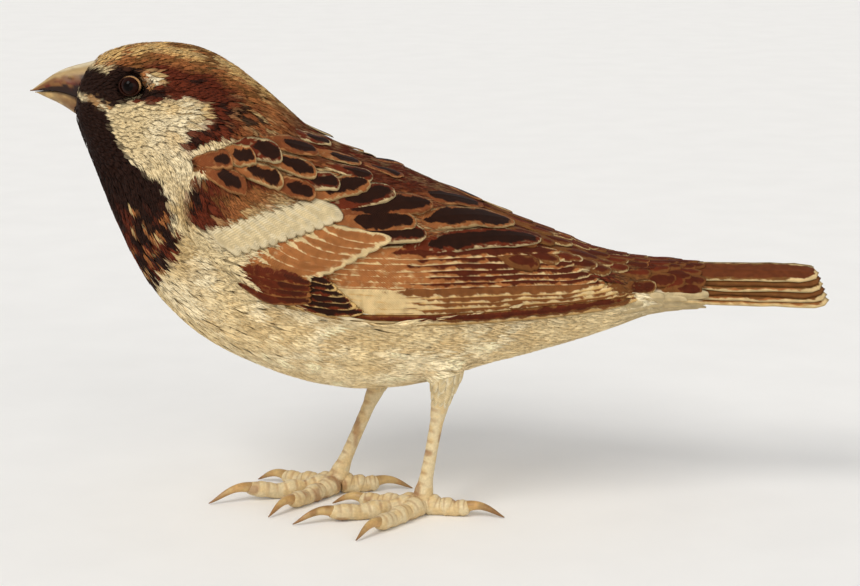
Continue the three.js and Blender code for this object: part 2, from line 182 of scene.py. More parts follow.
def coloured(tree, colour, height=None, strength=0.0, depth=0.0):
    """Gives the surface its colour and, where there is a height, its bump; depth in metres."""
    surface = tree.nodes["Principled BSDF"]
    feed(tree, surface.inputs["Base Color"], colour)
    if height is not None:
        relief = {"Strength": strength, "Distance": depth, "Height": height}
        bump = add_node(tree, "ShaderNodeBump", relief)
        feed(tree, surface.inputs["Normal"], bump.outputs["Normal"])


def stored(tree, key):
    return add_node(tree, "ShaderNodeAttribute", attribute_name=key).outputs


def noise(tree, size, detail=3, stretch=None):
    """Noise with lumps of a size in metres, stretched along the axes if asked."""
    place = add_node(tree, "ShaderNodeTexCoord").outputs["Object"]
    if stretch:
        place = add_node(tree, "ShaderNodeMapping", {"Vector": place, "Scale": stretch}).outputs["Vector"]
    inputs = {"Vector": place, "Scale": 1 / size, "Detail": detail}
    return add_node(tree, "ShaderNodeTexNoise", inputs).outputs["Fac"]


def maths(tree, operation, a, b=0.0):
    return add_node(tree, "ShaderNodeMath", {0: a, 1: b}, operation=operation).outputs[0]


def ranged(tree, value, low, high, to_low=0.0, to_high=1.0, curve="SMOOTHSTEP"):
    ends = {"Value": value, "From Min": low, "From Max": high, "To Min": to_low, "To Max": to_high}
    return add_node(tree, "ShaderNodeMapRange", ends, interpolation_type=curve).outputs["Result"]


def blended(tree, kind, share, a, b):
    sockets = {"Factor": share, "A": a, "B": b}
    return add_node(tree, "ShaderNodeMix", sockets, data_type="RGBA", blend_type=kind).outputs["Result"]


def floor_material(colour, grain, depth):
    """A matt finish with a little mottling; grain is in metres."""
    material, tree = started("pale_floor", {"Roughness": 0.8})
    ramp = add_node(tree, "ShaderNodeValToRGB", {"Fac": noise(tree, grain, 4)})
    for stop, place, share in zip(ramp.color_ramp.elements, (0.3, 0.7), (1 - depth, 1 + depth)):
        stop.position, stop.color = place, (*[min(1, c * share) for c in colour], 1)
    coloured(tree, ramp.outputs["Color"])
    return material


def tinted_material(name, surface, grain, detail, contrast, strength, depth, stretch=None):
    """A finish that takes each piece's own tint, broken by a fine grain; sizes in metres."""
    material, tree = started(name, surface)
    grains = noise(tree, grain, detail, stretch)
    shade = ranged(tree, grains, 0.0, 1.0, 1 - contrast, 1 + contrast, "LINEAR")
    colour = blended(tree, "MULTIPLY", 1.0, stored(tree, "tint")["Color"], shade)
    coloured(tree, colour, grains, strength, depth)
    return material


signs = ((-1, -1), (1, -1), (1, 1), (-1, 1))
floor_corners = [(FLOOR_HALF * x, FLOOR_HALF * y, 0) for x, y in signs]
floor = new_object("floor", floor_corners, [(0, 1, 2, 3)], rounded=False)
floor.data.materials.append(floor_material(FLOOR_COLOUR, 0.02, 0.015))
floor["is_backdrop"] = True
print("stage set: camera", [round(c, 3) for c in camera.location])

# %% [markdown]
# Under the feathers a bird is one closed surface. The working solids of the flesh and of
# the folded wings are separate blocks with thin gaps, so they are pushed out a little,
# fused by a voxel remesh, which bridges the gaps, and smoothed. The result is the *hull*, the
# outline that the feather tips should reach. The skin is the same surface pulled inward by
# the depth of the coat, which is shallow at the bill and deep on the trunk.

# %% Hull of the whole bird
FLESH = ["head", "neck", "back", "breast", "belly", "rump", "vent", "thigh_left", "thigh_right"]
WING_PARTS = ["scapulars", "tertials", "wing_shoulder", "wing_coverts", "secondaries", "primaries"]
SIDES = {"left": 1, "right": -1}
WINGS = [f"{part}_{side}" for side in SIDES for part in WING_PARTS]
HULL_PUSH, HULL_VOXEL, HULL_ROUNDS = 0.00022, 0.0007, 10     # metres, metres, passes of smoothing


def made_real(obj):
    """The evaluated object as a plain mesh."""
    done = obj.evaluated_get(bpy.context.evaluated_depsgraph_get())
    return bpy.data.meshes.new_from_object(done)


def fused(names, push, voxel, rounds):
    """One smooth closed mesh round several working solids."""
    shell = bmesh.new()
    for name in names:
        shell.from_mesh(frame["nodes"][name].data)
    bmesh.ops.remove_doubles(shell, verts=shell.verts, dist=2e-6)
    mesh = bpy.data.meshes.new("fused")
    shell.to_mesh(mesh)
    shell.free()
    obj = placed("fused", mesh)
    grow = obj.modifiers.new("grow", "DISPLACE")
    grow.strength, grow.mid_level = push, 0.0
    remesh = obj.modifiers.new("fuse", "REMESH")
    remesh.mode, remesh.voxel_size = "VOXEL", voxel
    relax = obj.modifiers.new("relax", "SMOOTH")
    relax.factor, relax.iterations = 0.5, rounds
    result = made_real(obj)
    bpy.data.objects.remove(obj)
    return result


def vertices_of(mesh, field):
    out = np.empty(len(mesh.vertices) * 3)
    mesh.vertices.foreach_get(field, out)
    return out.reshape(-1, 3)


hull_mesh = fused(FLESH + WINGS, HULL_PUSH, HULL_VOXEL, HULL_ROUNDS)
hull_points = vertices_of(hull_mesh, "co") / MM - SHIFT
hull_polygons = [tuple(p.vertices) for p in hull_mesh.polygons]
hull_tree = BVHTree.FromPolygons([tuple(p) for p in hull_points], hull_polygons)
print("hull:", len(hull_points), "points,", hull_points.min(0).round(1), "to", hull_points.max(0).round(1))

# %% [markdown]
# Feathers are laid out on a map of the bird: x along the body, and the angle round it,
# measured from the ridge of the back. Rays cast inward onto the hull give the radius at
# each place on the map, so a path drawn on the map becomes a path on the bird. Under the
# wing's lower edge the hull drops to the flank, so there the wing's map runs on level.

# %% Map of the bird's surface
tail_low, tail_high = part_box("tail_left")
TAIL_MID = (tail_low.z + tail_high.z) / 2 / MM
TAIL_HALF = (9.4, (tail_high.z - tail_low.z) / 2 / MM + 0.7)
HULL_END, TAIL_FROM = 43.0, 51.0
AXIS = [(-67, 77), (-62, 75), (-56, 71), (-50, 65), (-44, 60.5), (-36, 56), (-28, 51.5), (-20, 48.5),
        (-10, 45), (0, 43), (12, 41.5), (24, 41), (36, 41.5), (46, 42.2), (60, TAIL_MID)]
MAP_X = np.arange(-66.0, 61.01, 1.0)
MAP_A = np.radians(np.arange(0.0, 180.1, 3.0))
FAR, NO_RADIUS = 70, 0.3     # mm: where rays start, and the radius where they miss


def table_at(table, x):
    """The value at x of a line given as pairs of place and value."""
    places, values = np.array(table, float).T
    return np.interp(x, places, values)


def axis_z(x):
    return table_at(AXIS, x)


def cast_map():
    """The hull's radius in mm at every x and angle of the map."""
    radius = np.zeros((len(MAP_X), len(MAP_A)))
    for i, x in enumerate(MAP_X):
        for j, angle in enumerate(MAP_A):
            out = Vector((0.0, -math.sin(angle), math.cos(angle)))
            start = Vector((x, 0.0, float(axis_z(x)))) + out * FAR
            hit = hull_tree.ray_cast(start, -out, FAR)
            radius[i, j] = FAR - hit[3] if hit[0] is not None else NO_RADIUS
    return radius


def blurred(table, rounds):
    for _ in range(rounds):
        padded = np.pad(table, 1, mode="edge")
        table = (padded[:-2, 1:-1] + padded[2:, 1:-1] + padded[1:-1, :-2] + padded[1:-1, 2:]
                 + 2 * padded[1:-1, 1:-1]) / 6
    return table


def tapered_to_tail(table):
    """Past the rump the map runs on and closes down onto the root of the tail."""
    last = int(HULL_END - MAP_X[0])
    across, high = TAIL_HALF
    # Roof-shaped above, where it meets the sloping feathers, and round below.
    power = np.where(np.cos(MAP_A) > 0, 1.25, 2.0)
    wide, tall = np.abs(np.sin(MAP_A) / across), np.abs(np.cos(MAP_A) / high)
    tail = (wide ** power + tall ** power) ** (-1 / power)
    for i in range(last + 1, len(MAP_X)):
        t = min((MAP_X[i] - HULL_END) / (TAIL_FROM - HULL_END), 1.0)
        share = t * t * (3 - 2 * t)
        table[i] = table[last] * (1 - share) + tail * share
    return table


BODY_MAP = tapered_to_tail(cast_map())
WING_EDGE = [(-46, 47.0), (-38, 46.5), (-30, 43.6), (-23, 41.6), (-12.5, 39.1), (-2, 38.9), (9, 39.6),
             (24, 40.8), (38.8, 41.8), (50, 43)]
WING_HANG = 0.9      # mm above the wing's lower edge from which its map runs on level


def wing_map():
    """The same map, but running on level under the wing's lower edge."""
    table = BODY_MAP.copy()
    for i, x in enumerate(MAP_X):
        height = axis_z(x) + table[i] * np.cos(MAP_A)
        below = np.nonzero(height < table_at(WING_EDGE, x) + WING_HANG)[0]
        if len(below):
            first = max(int(below[0]), 2)
            table[i, first:] = table[i, first - 1]
    return blurred(table, 4)


WING_MAP = wing_map()
BODY_MAP = blurred(BODY_MAP, 2)


def read_map(table, x, angle):
    """Radius at x (mm) and angle (radians from the ridge, either side)."""
    fx = np.clip((np.asarray(x) - MAP_X[0]) / (MAP_X[1] - MAP_X[0]), 0, len(MAP_X) - 1.001)
    fa = np.clip(np.abs(angle) / (MAP_A[1] - MAP_A[0]), 0, len(MAP_A) - 1.001)
    i, j = fx.astype(int), fa.astype(int)
    u, v = fx - i, fa - j
    return ((table[i, j] * (1 - u) + table[i + 1, j] * u) * (1 - v)
            + (table[i, j + 1] * (1 - u) + table[i + 1, j + 1] * u) * v)


def on_map(table, x, angle, lift=0.0):
    """Point of the bird at x and angle (positive towards its left, -Y), raised by lift mm."""
    x, angle = np.broadcast_arrays(np.asarray(x, float), np.asarray(angle, float))
    radius = read_map(table, x, angle) + lift
    return np.stack([x, -radius * np.sin(angle), axis_z(x) + radius * np.cos(angle)], -1)


def angle_at(table, x, z):
    """The angle round the left side at which the surface at x is z high."""
    angles = np.linspace(0, math.pi, 181)
    heights = axis_z(x) + read_map(table, np.full(181, float(x)), angles) * np.cos(angles)
    order = np.argmax(heights < z)
    if heights[0] <= z:
        return 0.02
    high, low = heights[order - 1], heights[order]
    return float(angles[order - 1] + (high - z) / max(high - low, 1e-6) * (angles[1] - angles[0]))


RIDGE = np.array([axis_z(x) + read_map(BODY_MAP, np.array([x]), np.array([0.0]))[0] for x in MAP_X])
print("map:", BODY_MAP.shape, "ridge at x = -48 is", RIDGE[18].round(1), "mm high")

# %% [markdown]
# A sparrow's colours sit in sharp regions: a black bib and mask, pale cheeks, a chestnut
# cap that runs down the nape, a streaked mantle and buff underparts. They are written once,
# as a function of place on the bird, and both the skin and every feather ask it for their
# colour. Region outlines are short closed lines on the bird's side; a seeded lattice noise
# breaks up their edges and mottles what is inside.

# %% Plumage colours
def linear(code):
    """A colour written as RRGGBB, in linear light."""
    values = np.array([int(code[i:i + 2], 16) / 255 for i in (0, 2, 4)])
    return np.where(values <= 0.04045, values / 12.92, ((values + 0.055) / 1.055) ** 2.4)


INK, CHESTNUT, RUSSET = linear("240F05"), linear("5C240F"), linear("9A6034")
OLIVE, TAN, BUFF = linear("724A24"), linear("B09566"), linear("CCB78C")
CREAM, OCHRE = linear("D9CBAA"), linear("C9A569")


def hashed(cells, seed):
    """A number from 0 to 1 for each whole-number cell, the same on every run."""
    mixed = (cells[..., 0] * 73856093) ^ (cells[..., 1] * 19349663) ^ (cells[..., 2] * 83492791)
    mixed = (mixed ^ (seed * 2654435761)) & 0xFFFFFFFF
    mixed = ((mixed ^ (mixed >> 15)) * 2246822519) & 0xFFFFFFFF
    mixed = ((mixed ^ (mixed >> 13)) * 3266489917) & 0xFFFFFFFF
    return ((mixed ^ (mixed >> 16)) & 0xFFFF) / 65535.0


def lattice_noise(points, size, seed):
    """Smooth noise from 0 to 1; size is a lump's width in mm."""
    at = np.asarray(points, float) / size + 1000
    cell = np.floor(at).astype(np.int64)
    part = at - cell
    part = part * part * (3 - 2 * part)
    total = 0
    for corner in range(8):
        step = np.array([corner & 1, corner >> 1 & 1, corner >> 2 & 1])
        weight = np.prod(np.where(step, part, 1 - part), -1)
        total = total + weight * hashed(cell + step, seed)
    return total


def smooth(low, high, value):
    t = np.clip((value - low) / (high - low), 0, 1)
    return t * t * (3 - 2 * t)


def inside(points, outline, soft=0.4, ragged=0.5, seed=1):
    """1 inside a closed outline of (x, z) on the bird's side, 0 outside, with a ragged edge."""
    flat = points[:, [0, 2]]
    corners = np.array(outline, float)
    nearest = np.full(len(flat), 1e9)
    odd = np.zeros(len(flat), bool)
    for start, end in zip(corners, np.roll(corners, -1, 0)):
        side = end - start
        t = np.clip(((flat - start) @ side) / (side @ side), 0, 1)
        nearest = np.minimum(nearest, np.linalg.norm(flat - start - t[:, None] * side, axis=1))
        crosses = (start[1] > flat[:, 1]) != (end[1] > flat[:, 1])
        run = side[0] * (flat[:, 1] - start[1]) / (side[1] if side[1] else 1e-9) + start[0]
        odd ^= crosses & (flat[:, 0] < run)
    depth = np.where(odd, nearest, -nearest) + ragged * (lattice_noise(points, 1.3, seed) - 0.5) * 2
    return smooth(-soft, soft, depth)


def spots(points, places, seed=3):
    """1 inside any of several leaf-shaped spots: (x, z, half length, half height, slope)."""
    total = np.zeros(len(points))
    wobble = 0.35 * (lattice_noise(points, 1.0, seed) - 0.5)
    for x, z, long, high, degrees in places:
        angle = math.radians(degrees)
        dx, dz = points[:, 0] - x, points[:, 2] - z
        run = (dx * math.cos(angle) + dz * math.sin(angle)) / long
        rise = (dz * math.cos(angle) - dx * math.sin(angle)) / high
        total = np.maximum(total, smooth(1.15, 0.8, np.sqrt(run ** 2 + rise ** 2) + wobble))
    return total


def paint(base, colour, share):
    """Colours with a share of another laid over them, point by point."""
    return base + (colour - base) * np.asarray(share)[:, None]


BIB = [(-69, 79), (-61, 77.6), (-58.8, 76.0), (-57.5, 72.8), (-55.1, 68.4), (-51.3, 65.1), (-48.5, 64.7),
       (-47.9, 62.5), (-47.2, 60.9), (-46.0, 56.5), (-45.3, 52.8), (-46.4, 50.5), (-48.0, 48.7),
       (-51.5, 43.4), (-55, 38), (-62, 36), (-75, 50), (-76, 70)]
MASK = [(-64, 84), (-61.2, 83.0), (-59.6, 83.6), (-58.6, 82.4), (-57.6, 83.6), (-56.1, 84.4), (-54.6, 83.7),
        (-50.9, 83.2), (-50.6, 80.4), (-46.9, 80.1), (-47.1, 79.0), (-49.7, 78.4), (-54.5, 78.0),
        (-56.0, 77.0), (-57.8, 76.8), (-59.2, 77.9), (-61.2, 78.6), (-65, 79)]
CAP = [(-63.5, 84.5), (-59.2, 83.7), (-57.6, 83.6), (-54, 83.4), (-50.4, 82.9), (-49.4, 79.8),
       (-54.1, 78.7), (-53.3, 78.0), (-50.4, 77.8), (-48.2, 77.9), (-46.7, 78.7), (-44.5, 78.8),
       (-41.6, 78.2),
       (-39.6, 77.0), (-39.2, 74.6), (-40.9, 73.1), (-42.8, 72.4), (-44.5, 70.5), (-43.2, 69.4),
       (-41.0, 69.6), (-38.0, 70.6), (-36.2, 70.7), (-32.9, 70.2), (-31, 60), (0, 50), (10, 58), (-12, 72),
       (-30, 90), (-60, 92)]
SHOULDER = [(-43.8, 58.2), (-42.9, 62.6), (-41.2, 64.8), (-38.6, 65.4), (-33, 66.5), (-27, 66.5), (-20, 64),
            (-20, 61), (-29, 59.8), (-34.5, 57.6), (-38.5, 56.0), (-41.5, 55.8)]
WING_BAR = [(-41, 55.8), (-38.3, 56.2), (-34.5, 57.6), (-29, 60), (-24, 61.2), (-17.2, 60.8), (-16.6, 56.4),
            (-23, 55.4), (-30.5, 55.2), (-32.4, 53.2), (-35.6, 51.4), (-38, 51.8)]
EYE_PATCH = [(-51.9, 83.2), (-49.9, 83.6), (-48.2, 83.0), (-47.4, 80.9), (-50.3, 80.3), (-51.6, 80.2)]
BIB_BLOTCHES = [(-51.6, 55.4, 1.3, 0.7, 50), (-49.3, 53.6, 1.5, 0.9, 30), (-53.8, 54.4, 1.6, 0.5, 65),
                (-50.7, 50.2, 1.6, 0.8, 40), (-53.8, 58.3, 1.3, 0.6, 35), (-48.2, 57.2, 1.3, 0.6, 40),
                (-52.8, 46.6, 1.6, 0.7, 45), (-54.9, 49.6, 1.2, 0.5, 60), (-49.2, 47.5, 1.3, 0.6, 30)]
NAPE_FLECKS = [(-42.2, 81.2, 1.5, 0.4, -5), (-36.8, 76.4, 1.4, 0.5, -65), (-34.1, 76.3, 0.9, 0.6, 40),
               (-35.8, 73.3, 1.2, 0.4, 60), (-31.9, 74.2, 2.0, 0.5, 10), (-38.4, 73.9, 1.3, 0.35, 75),
               (-39.7, 72.6, 0.6, 0.4, 60), (-38.3, 71.8, 0.6, 0.5, 0), (-42.2, 71.2, 1.3, 0.6, 28)]


def plumage(points):
    """Colour of the coat at each point, in bird mm, with painted light on its pale parts; the two sides
    match.
    """
    points = np.array(points, float)
    points[:, 1] = np.abs(points[:, 1])
    x, y, z = points.T
    fine, lump, broad = (lattice_noise(points, size, seed) for size, seed in ((0.9, 11), (2.2, 12), (6, 13)))
    # Underparts: buff, paler on the breast, with tan clouds along the flank.
    colour = np.tile(BUFF, (len(points), 1))
    colour = paint(colour, CREAM, smooth(0.35, 0.75, broad) * 0.7)
    cloud = smooth(0.56, 0.72, 0.6 * lump + 0.4 * broad)
    colour = paint(colour, TAN, cloud * smooth(-60, -30, x) * 0.55)
    flank = smooth(8, 1, np.abs(z - (37 - 0.09 * (x + 20)))) * smooth(-50, -36, x)
    colour = paint(colour, TAN, flank * smooth(0.42, 0.62, lump) * 0.6)
    band = smooth(3.5, 1, np.abs(x + 44.5)) * smooth(43, 50, z) * smooth(66, 60, z)
    colour = paint(colour, TAN, band * smooth(0.35, 0.6, lump) * 0.9)
    # Cheek: cream, tan at its rear.
    rear_cheek = smooth(-50, -42, x) * smooth(68, 72, z)
    colour = paint(colour, OCHRE, rear_cheek * smooth(0.52, 0.66, lump) * 0.7)
    colour = paint(colour, TAN, rear_cheek * smooth(0.5, 0.62, fine) * 0.6)
    # Cap, nape and back: chestnut under a paler crown.
    cap = inside(points, CAP, seed=21)
    below_ridge = np.interp(x, MAP_X, RIDGE) - z
    top = CHESTNUT * np.ones((len(points), 1))
    rusty = smooth(0.62, 0.75, lump) * smooth(2.5, 6, below_ridge) * smooth(-34, -28, x)
    top = paint(top, RUSSET, rusty * 0.5)
    mantle = smooth(-37, -32, x) * smooth(2.5, 5, below_ridge + (lump - 0.5)) * smooth(53, 56, z)
    top = paint(top, RUSSET, mantle * (0.35 + 0.55 * smooth(0.4, 0.6, fine)))
    top = paint(top, TAN, mantle * smooth(0.55, 0.68, lattice_noise(points, 1.1, 16)) * 0.8)
    head = smooth(-24, -30, x)
    rim = smooth(4.6, 3.2, below_ridge + 1.6 * (lump - 0.5))
    top = paint(top, RUSSET, rim * head)
    crest = smooth(2.7, 1.6, below_ridge + 1.4 * (fine - 0.5))
    top = paint(top, OCHRE, crest * head * smooth(0.25, 0.5, lump) * 0.9)
    top = paint(top, TAN, crest * smooth(0.5, 0.62, fine) * (0.35 + 0.5 * head))
    top = paint(top, OLIVE, rim * head * smooth(0.6, 0.7, lattice_noise(points, 1.4, 14)) * 0.9)
    colour = paint(colour, top, cap)
    colour = paint(colour, INK, spots(points, NAPE_FLECKS) * 0.92)
    # Rump and upper tail coverts: chestnut with olive and pale scallops.
    rump = smooth(2, 8, x) * smooth(43.4, 44.6, z + 0.06 * (x - 20))
    colour = paint(colour, CHESTNUT, rump)
    colour = paint(colour, OLIVE, rump * smooth(0.5, 0.62, lump) * 0.8)
    # Lores, eye stripe and bib.
    colour = paint(colour, RUSSET, inside(points, EYE_PATCH, 0.5, 0.2, 22))
    mask = inside(points, MASK, 0.35, 0.4, 23) * (1 - inside(points, EYE_PATCH, 0.4, 0.1, 22))
    colour = paint(colour, INK, mask)
    patch = inside(points, EYE_PATCH, 0.4, 0.2, 24)
    colour = paint(colour, TAN, patch * smooth(-51.2, -49.6, x))
    colour = paint(colour, CREAM, patch * spots(points, [(-49.4, 81.8, 1.5, 0.8, -25)], 8))
    bib = inside(points, BIB, 0.35, 0.45, 25)
    colour = paint(colour, INK, bib)
    gape = spots(points, [(-60.2, 77.6, 3.0, 1.0, -22)], 10)
    gape = gape * smooth(0.42, 0.56, lattice_noise(points, 0.8, 17))
    colour = paint(colour, 0.5 * RUSSET + 0.5 * TAN, gape)
    low_bib = bib * smooth(61, 54, z)
    colour = paint(colour, CHESTNUT, low_bib * smooth(0.5, 0.6, lump))
    colour = paint(colour, RUSSET, bib * spots(points, BIB_BLOTCHES, 5) * 0.9)
    hearts = [(a, b, long / 2, high / 2, slope) for a, b, long, high, slope in BIB_BLOTCHES]
    colour = paint(colour, TAN, bib * spots(points, hearts, 6))
    # Shoulder and wing bar.
    shoulder = inside(points, SHOULDER, 0.5, 0.6, 26) * smooth(8, 12, y)
    colour = paint(colour, CHESTNUT, shoulder)
    paler = smooth(-38.5, -34.5, x + 2 * (lump - 0.5)) * smooth(64.6, 62.4, z)
    colour = paint(colour, RUSSET, shoulder * paler)
    colour = paint(colour, TAN, shoulder * paler * smooth(0.6, 0.7, lump) * 0.8)
    colour = paint(colour, OLIVE, shoulder * smooth(0.62, 0.7, lattice_noise(points, 1.2, 15)) * 0.7)
    dark = spots(points, [(-41.6, 62.0, 1.3, 1.9, 10), (-42.2, 59.6, 0.7, 1.0, 20)])
    colour = paint(colour, INK, dark * shoulder)
    bar = inside(points, WING_BAR, 0.4, 0.4, 27) * smooth(8, 12, y)
    colour = paint(colour, 0.3 * CREAM + 0.6 * BUFF, bar)
    # Two pale stripes run from the neck back onto the mantle.
    colour = paint(colour, BUFF, spots(points, [(-38.5, 70.6, 3.6, 0.7, 8), (-35.5, 66.9, 3.8, 0.6, 2)], 9))
    # Painted light: pale colours are lightened, most of all low on the underparts, which turn from the lamps,
    # to make up for their shade; the wing bar is left as it is.
    pale = smooth(0.12, 0.3, colour[:, 1])
    colour = colour * (1 + pale * (0.1 + 0.24 * smooth(50, 36, z)) * (1 - bar))[:, None]
    return np.clip(colour, 0, 1)


print("plumage at the bib:", plumage(np.array([[-56.0, -8.0, 60.0]]))[0].round(3))

# %% [markdown]
# The skin is made from the hull: each point moves inward along its normal by the depth of
# the coat there. Its own unwrap is the bird's map, length by angle, so that a colour baked
# onto it lies where it belongs. It carries the same markings as the feathers over it.

# %% Skin
hull_normals = vertices_of(hull_mesh, "normal")


def coat_depth(points):
    """Depth of the coat in mm: shallow at the bill, at the tail and on the shanks."""
    x, y, z = points.T
    depth = 0.4 + 0.35 * smooth(-64, -50, x)
    depth = depth + 0.35 * smooth(-46, -30, x)
    depth = depth * (1 - 0.45 * smooth(24, 42, x))
    shank = smooth(30, 26, z) * (x > -16) * (x < 8)
    return depth * (1 - 0.55 * shank)


MAP_TURN = 0.9       # share of the map's height that one turn round the body takes


def unwrapped(points):
    """Place on the bird's map as a pair from 0 to 1: along the body, and round it."""
    length = (points[:, 0] + 72) / 124
    angle = np.arctan2(-points[:, 1], points[:, 2] - axis_z(points[:, 0])) / (2 * math.pi)
    return np.stack([length, 0.5 + angle * MAP_TURN], -1)


def write_uv(mesh, name, per_corner):
    layer = mesh.uv_layers.get(name) or mesh.uv_layers.new(name=name)
    layer.data.foreach_set("uv", np.asarray(per_corner, np.float32).ravel())


def write_attribute(mesh, name, kind, values, field):
    attribute = mesh.attributes.get(name) or mesh.attributes.new(name, kind, "POINT")
    attribute.data.foreach_set(field, np.asarray(values, np.float32).ravel())


def write_colour(mesh, name, values):
    opaque = np.concatenate([values, np.ones((len(values), 1))], 1)
    write_attribute(mesh, name, "FLOAT_COLOR", opaque, "color")


def corner_points(mesh):
    index = np.empty(len(mesh.loops), np.int64)
    mesh.loops.foreach_get("vertex_index", index)
    return index


skin_mesh = hull_mesh.copy()
skin_mesh.name = "skin"
skin_points = hull_points - hull_normals * coat_depth(hull_points)[:, None]
skin_mesh.vertices.foreach_set("co", to_row(skin_points).ravel())
skin_mesh.polygons.foreach_set("use_smooth", [True] * len(skin_mesh.polygons))
skin_mesh.update()
skin = placed("skin", skin_mesh)
corners = corner_points(skin_mesh)
skin_uv = unwrapped(skin_points)[corners]
starts = np.array([p.loop_start for p in skin_mesh.polygons])
sizes = np.array([p.loop_total for p in skin_mesh.polygons])
owner = np.repeat(np.arange(len(starts)), sizes)
first = skin_uv[starts][owner]
# A face across the belly's seam keeps to one side of the map.
skin_uv[:, 1] -= np.where(skin_uv[:, 1] - first[:, 1] > 0.5, MAP_TURN, 0)
skin_uv[:, 1] += np.where(first[:, 1] - skin_uv[:, 1] > 0.5, MAP_TURN, 0)
write_uv(skin_mesh, "OFBake", skin_uv)
# Painted shade: the skin takes the plumage colour a little darker, as in the shade under the feathers.
write_colour(skin_mesh, "tint", plumage(hull_points) * 0.92)
print("skin:", len(skin_mesh.polygons), "faces, uv", skin_uv.min(0).round(3), skin_uv.max(0).round(3))

# %% [markdown]
# Feathers lie back from the bill, turn down the neck, and run along the trunk, and each
# tract has its own length. These are fields on the skin: at every point an arrow called
# *lie*, a length called *reach* and a *rise*, the height at which tips end. The tracts are
# shares from 0 to 1, and the skin that folded wing feathers will hide gets no small ones.

# %% Lie, length and tracts of the coat
def turned(points, degrees):
    """Arrows on the bird's side, turned up from the rearward direction by so many degrees."""
    angle = np.radians(degrees)
    return np.stack([np.cos(angle), np.zeros(len(points)), np.sin(angle)], -1)


def beyond(points, start, end):
    """Distance in mm of each point past a line on the bird's side, positive to its right."""
    (x0, z0), (x1, z1) = start, end
    run = np.array([x1 - x0, z1 - z0]) / math.hypot(x1 - x0, z1 - z0)
    return (points[:, 0] - x0) * run[1] - (points[:, 2] - z0) * run[0]


# Where the neck and the trunk begin, then the skin that large wing feathers hide.
NECK_LINE = ((-62.5, 63.5), (-30, 81.5))
TRUNK_LINE = ((-58.5, 50.5), (-19, 71.5))
COVERED = [(-34.6, 52.4), (-34.2, 54.0), (-30.5, 55.9), (-24.5, 58.2), (-18.2, 58.6), (-8, 56),
           (0, 53.5), (12, 52), (22, 49.5), (30, 46.5), (37, 44), (37, 41.6), (24, 40.6), (9, 39.4),
           (-9, 38.4), (-22, 40.6), (-30, 43.4), (-33.4, 46.0), (-32.8, 49.5), (-33.4, 51.6)]


def shank_share(points):
    """1 on the feathered thighs, 0 on the belly."""
    share = np.zeros(len(points))
    for side in SIDES:
        low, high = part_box(f"tarsus_{side}")
        x = high.x / MM - SHIFT[0]
        y = ((low.y + high.y) / 2) / MM - SHIFT[1]
        gone = np.hypot(points[:, 0] - x, points[:, 1] - y)
        share = np.maximum(share, smooth(7.5, 5.0, gone) * smooth(27.5, 25.5, points[:, 2]))
    return share


def coat_fields(points):
    """At each point: the lie as an arrow, the tufts' length in mm, and each tract's share."""
    x, y, z = points.T
    neck = smooth(-4, 5, beyond(points, *NECK_LINE))
    trunk = smooth(-4, 6, beyond(points, *TRUNK_LINE))
    thigh = shank_share(points)
    degrees = -6 + neck * -52 + trunk * 50
    degrees = degrees * (1 - thigh) + thigh * -80
    under = smooth(44, 36, z)
    reach = 1.5 + 1.3 * smooth(-64, -52, x) + neck * 1.0 + trunk * (1.0 + 1.2 * under)
    reach = reach + 1.4 * smooth(5, 25, x)
    reach = reach * (1 - 0.45 * thigh)
    covered = inside(points, COVERED, 0.6, 0.0) * (np.abs(y) > 4.5)
    covered = np.maximum(covered, smooth(34.5, 37, x) * smooth(44, 43, x))
    upper = smooth(-0.5, 0.5, z - (50.5 - 0.125 * (x + 20))) * trunk
    tracts = {
        "head_tract": (1 - neck),
        "neck_tract": neck * (1 - trunk),
        "upper_tract": upper,
        "under_tract": trunk * (1 - upper) * (1 - thigh),
        "thigh_tract": thigh,
    }
    halves = {"left": y < 0, "right": y >= 0}
    tracts = {f"{name}_{side}": share * (1 - covered) * half
              for name, share in tracts.items() for side, half in halves.items()}
    return turned(points, degrees), reach, tracts


lie, reach, tracts = coat_fields(hull_points)
write_attribute(skin_mesh, "lie", "FLOAT_VECTOR", lie, "vector")
write_attribute(skin_mesh, "out", "FLOAT_VECTOR", hull_normals, "vector")
write_attribute(skin_mesh, "reach", "FLOAT", reach * MM, "value")
write_attribute(skin_mesh, "rise", "FLOAT", coat_depth(hull_points) * MM, "value")
for tract, share in tracts.items():
    write_attribute(skin_mesh, tract, "FLOAT", share, "value")
print("coat fields: reach", reach.min().round(2), "to", reach.max().round(2), "mm")

# %% [markdown]
# One small feather shows as a sheaf of soft barbs, lying flat at the root and lifting a
# little at its ragged end. A tuft is seven such barbs, each a closed sliver of three sides,
# in a fan one unit long. Three tufts, drawn with a fixed seed, are enough: turned and stretched
# they don't look alike. How far each point stands off the skin is kept as *lift*.

# %% Three tufts
BARBS = 7


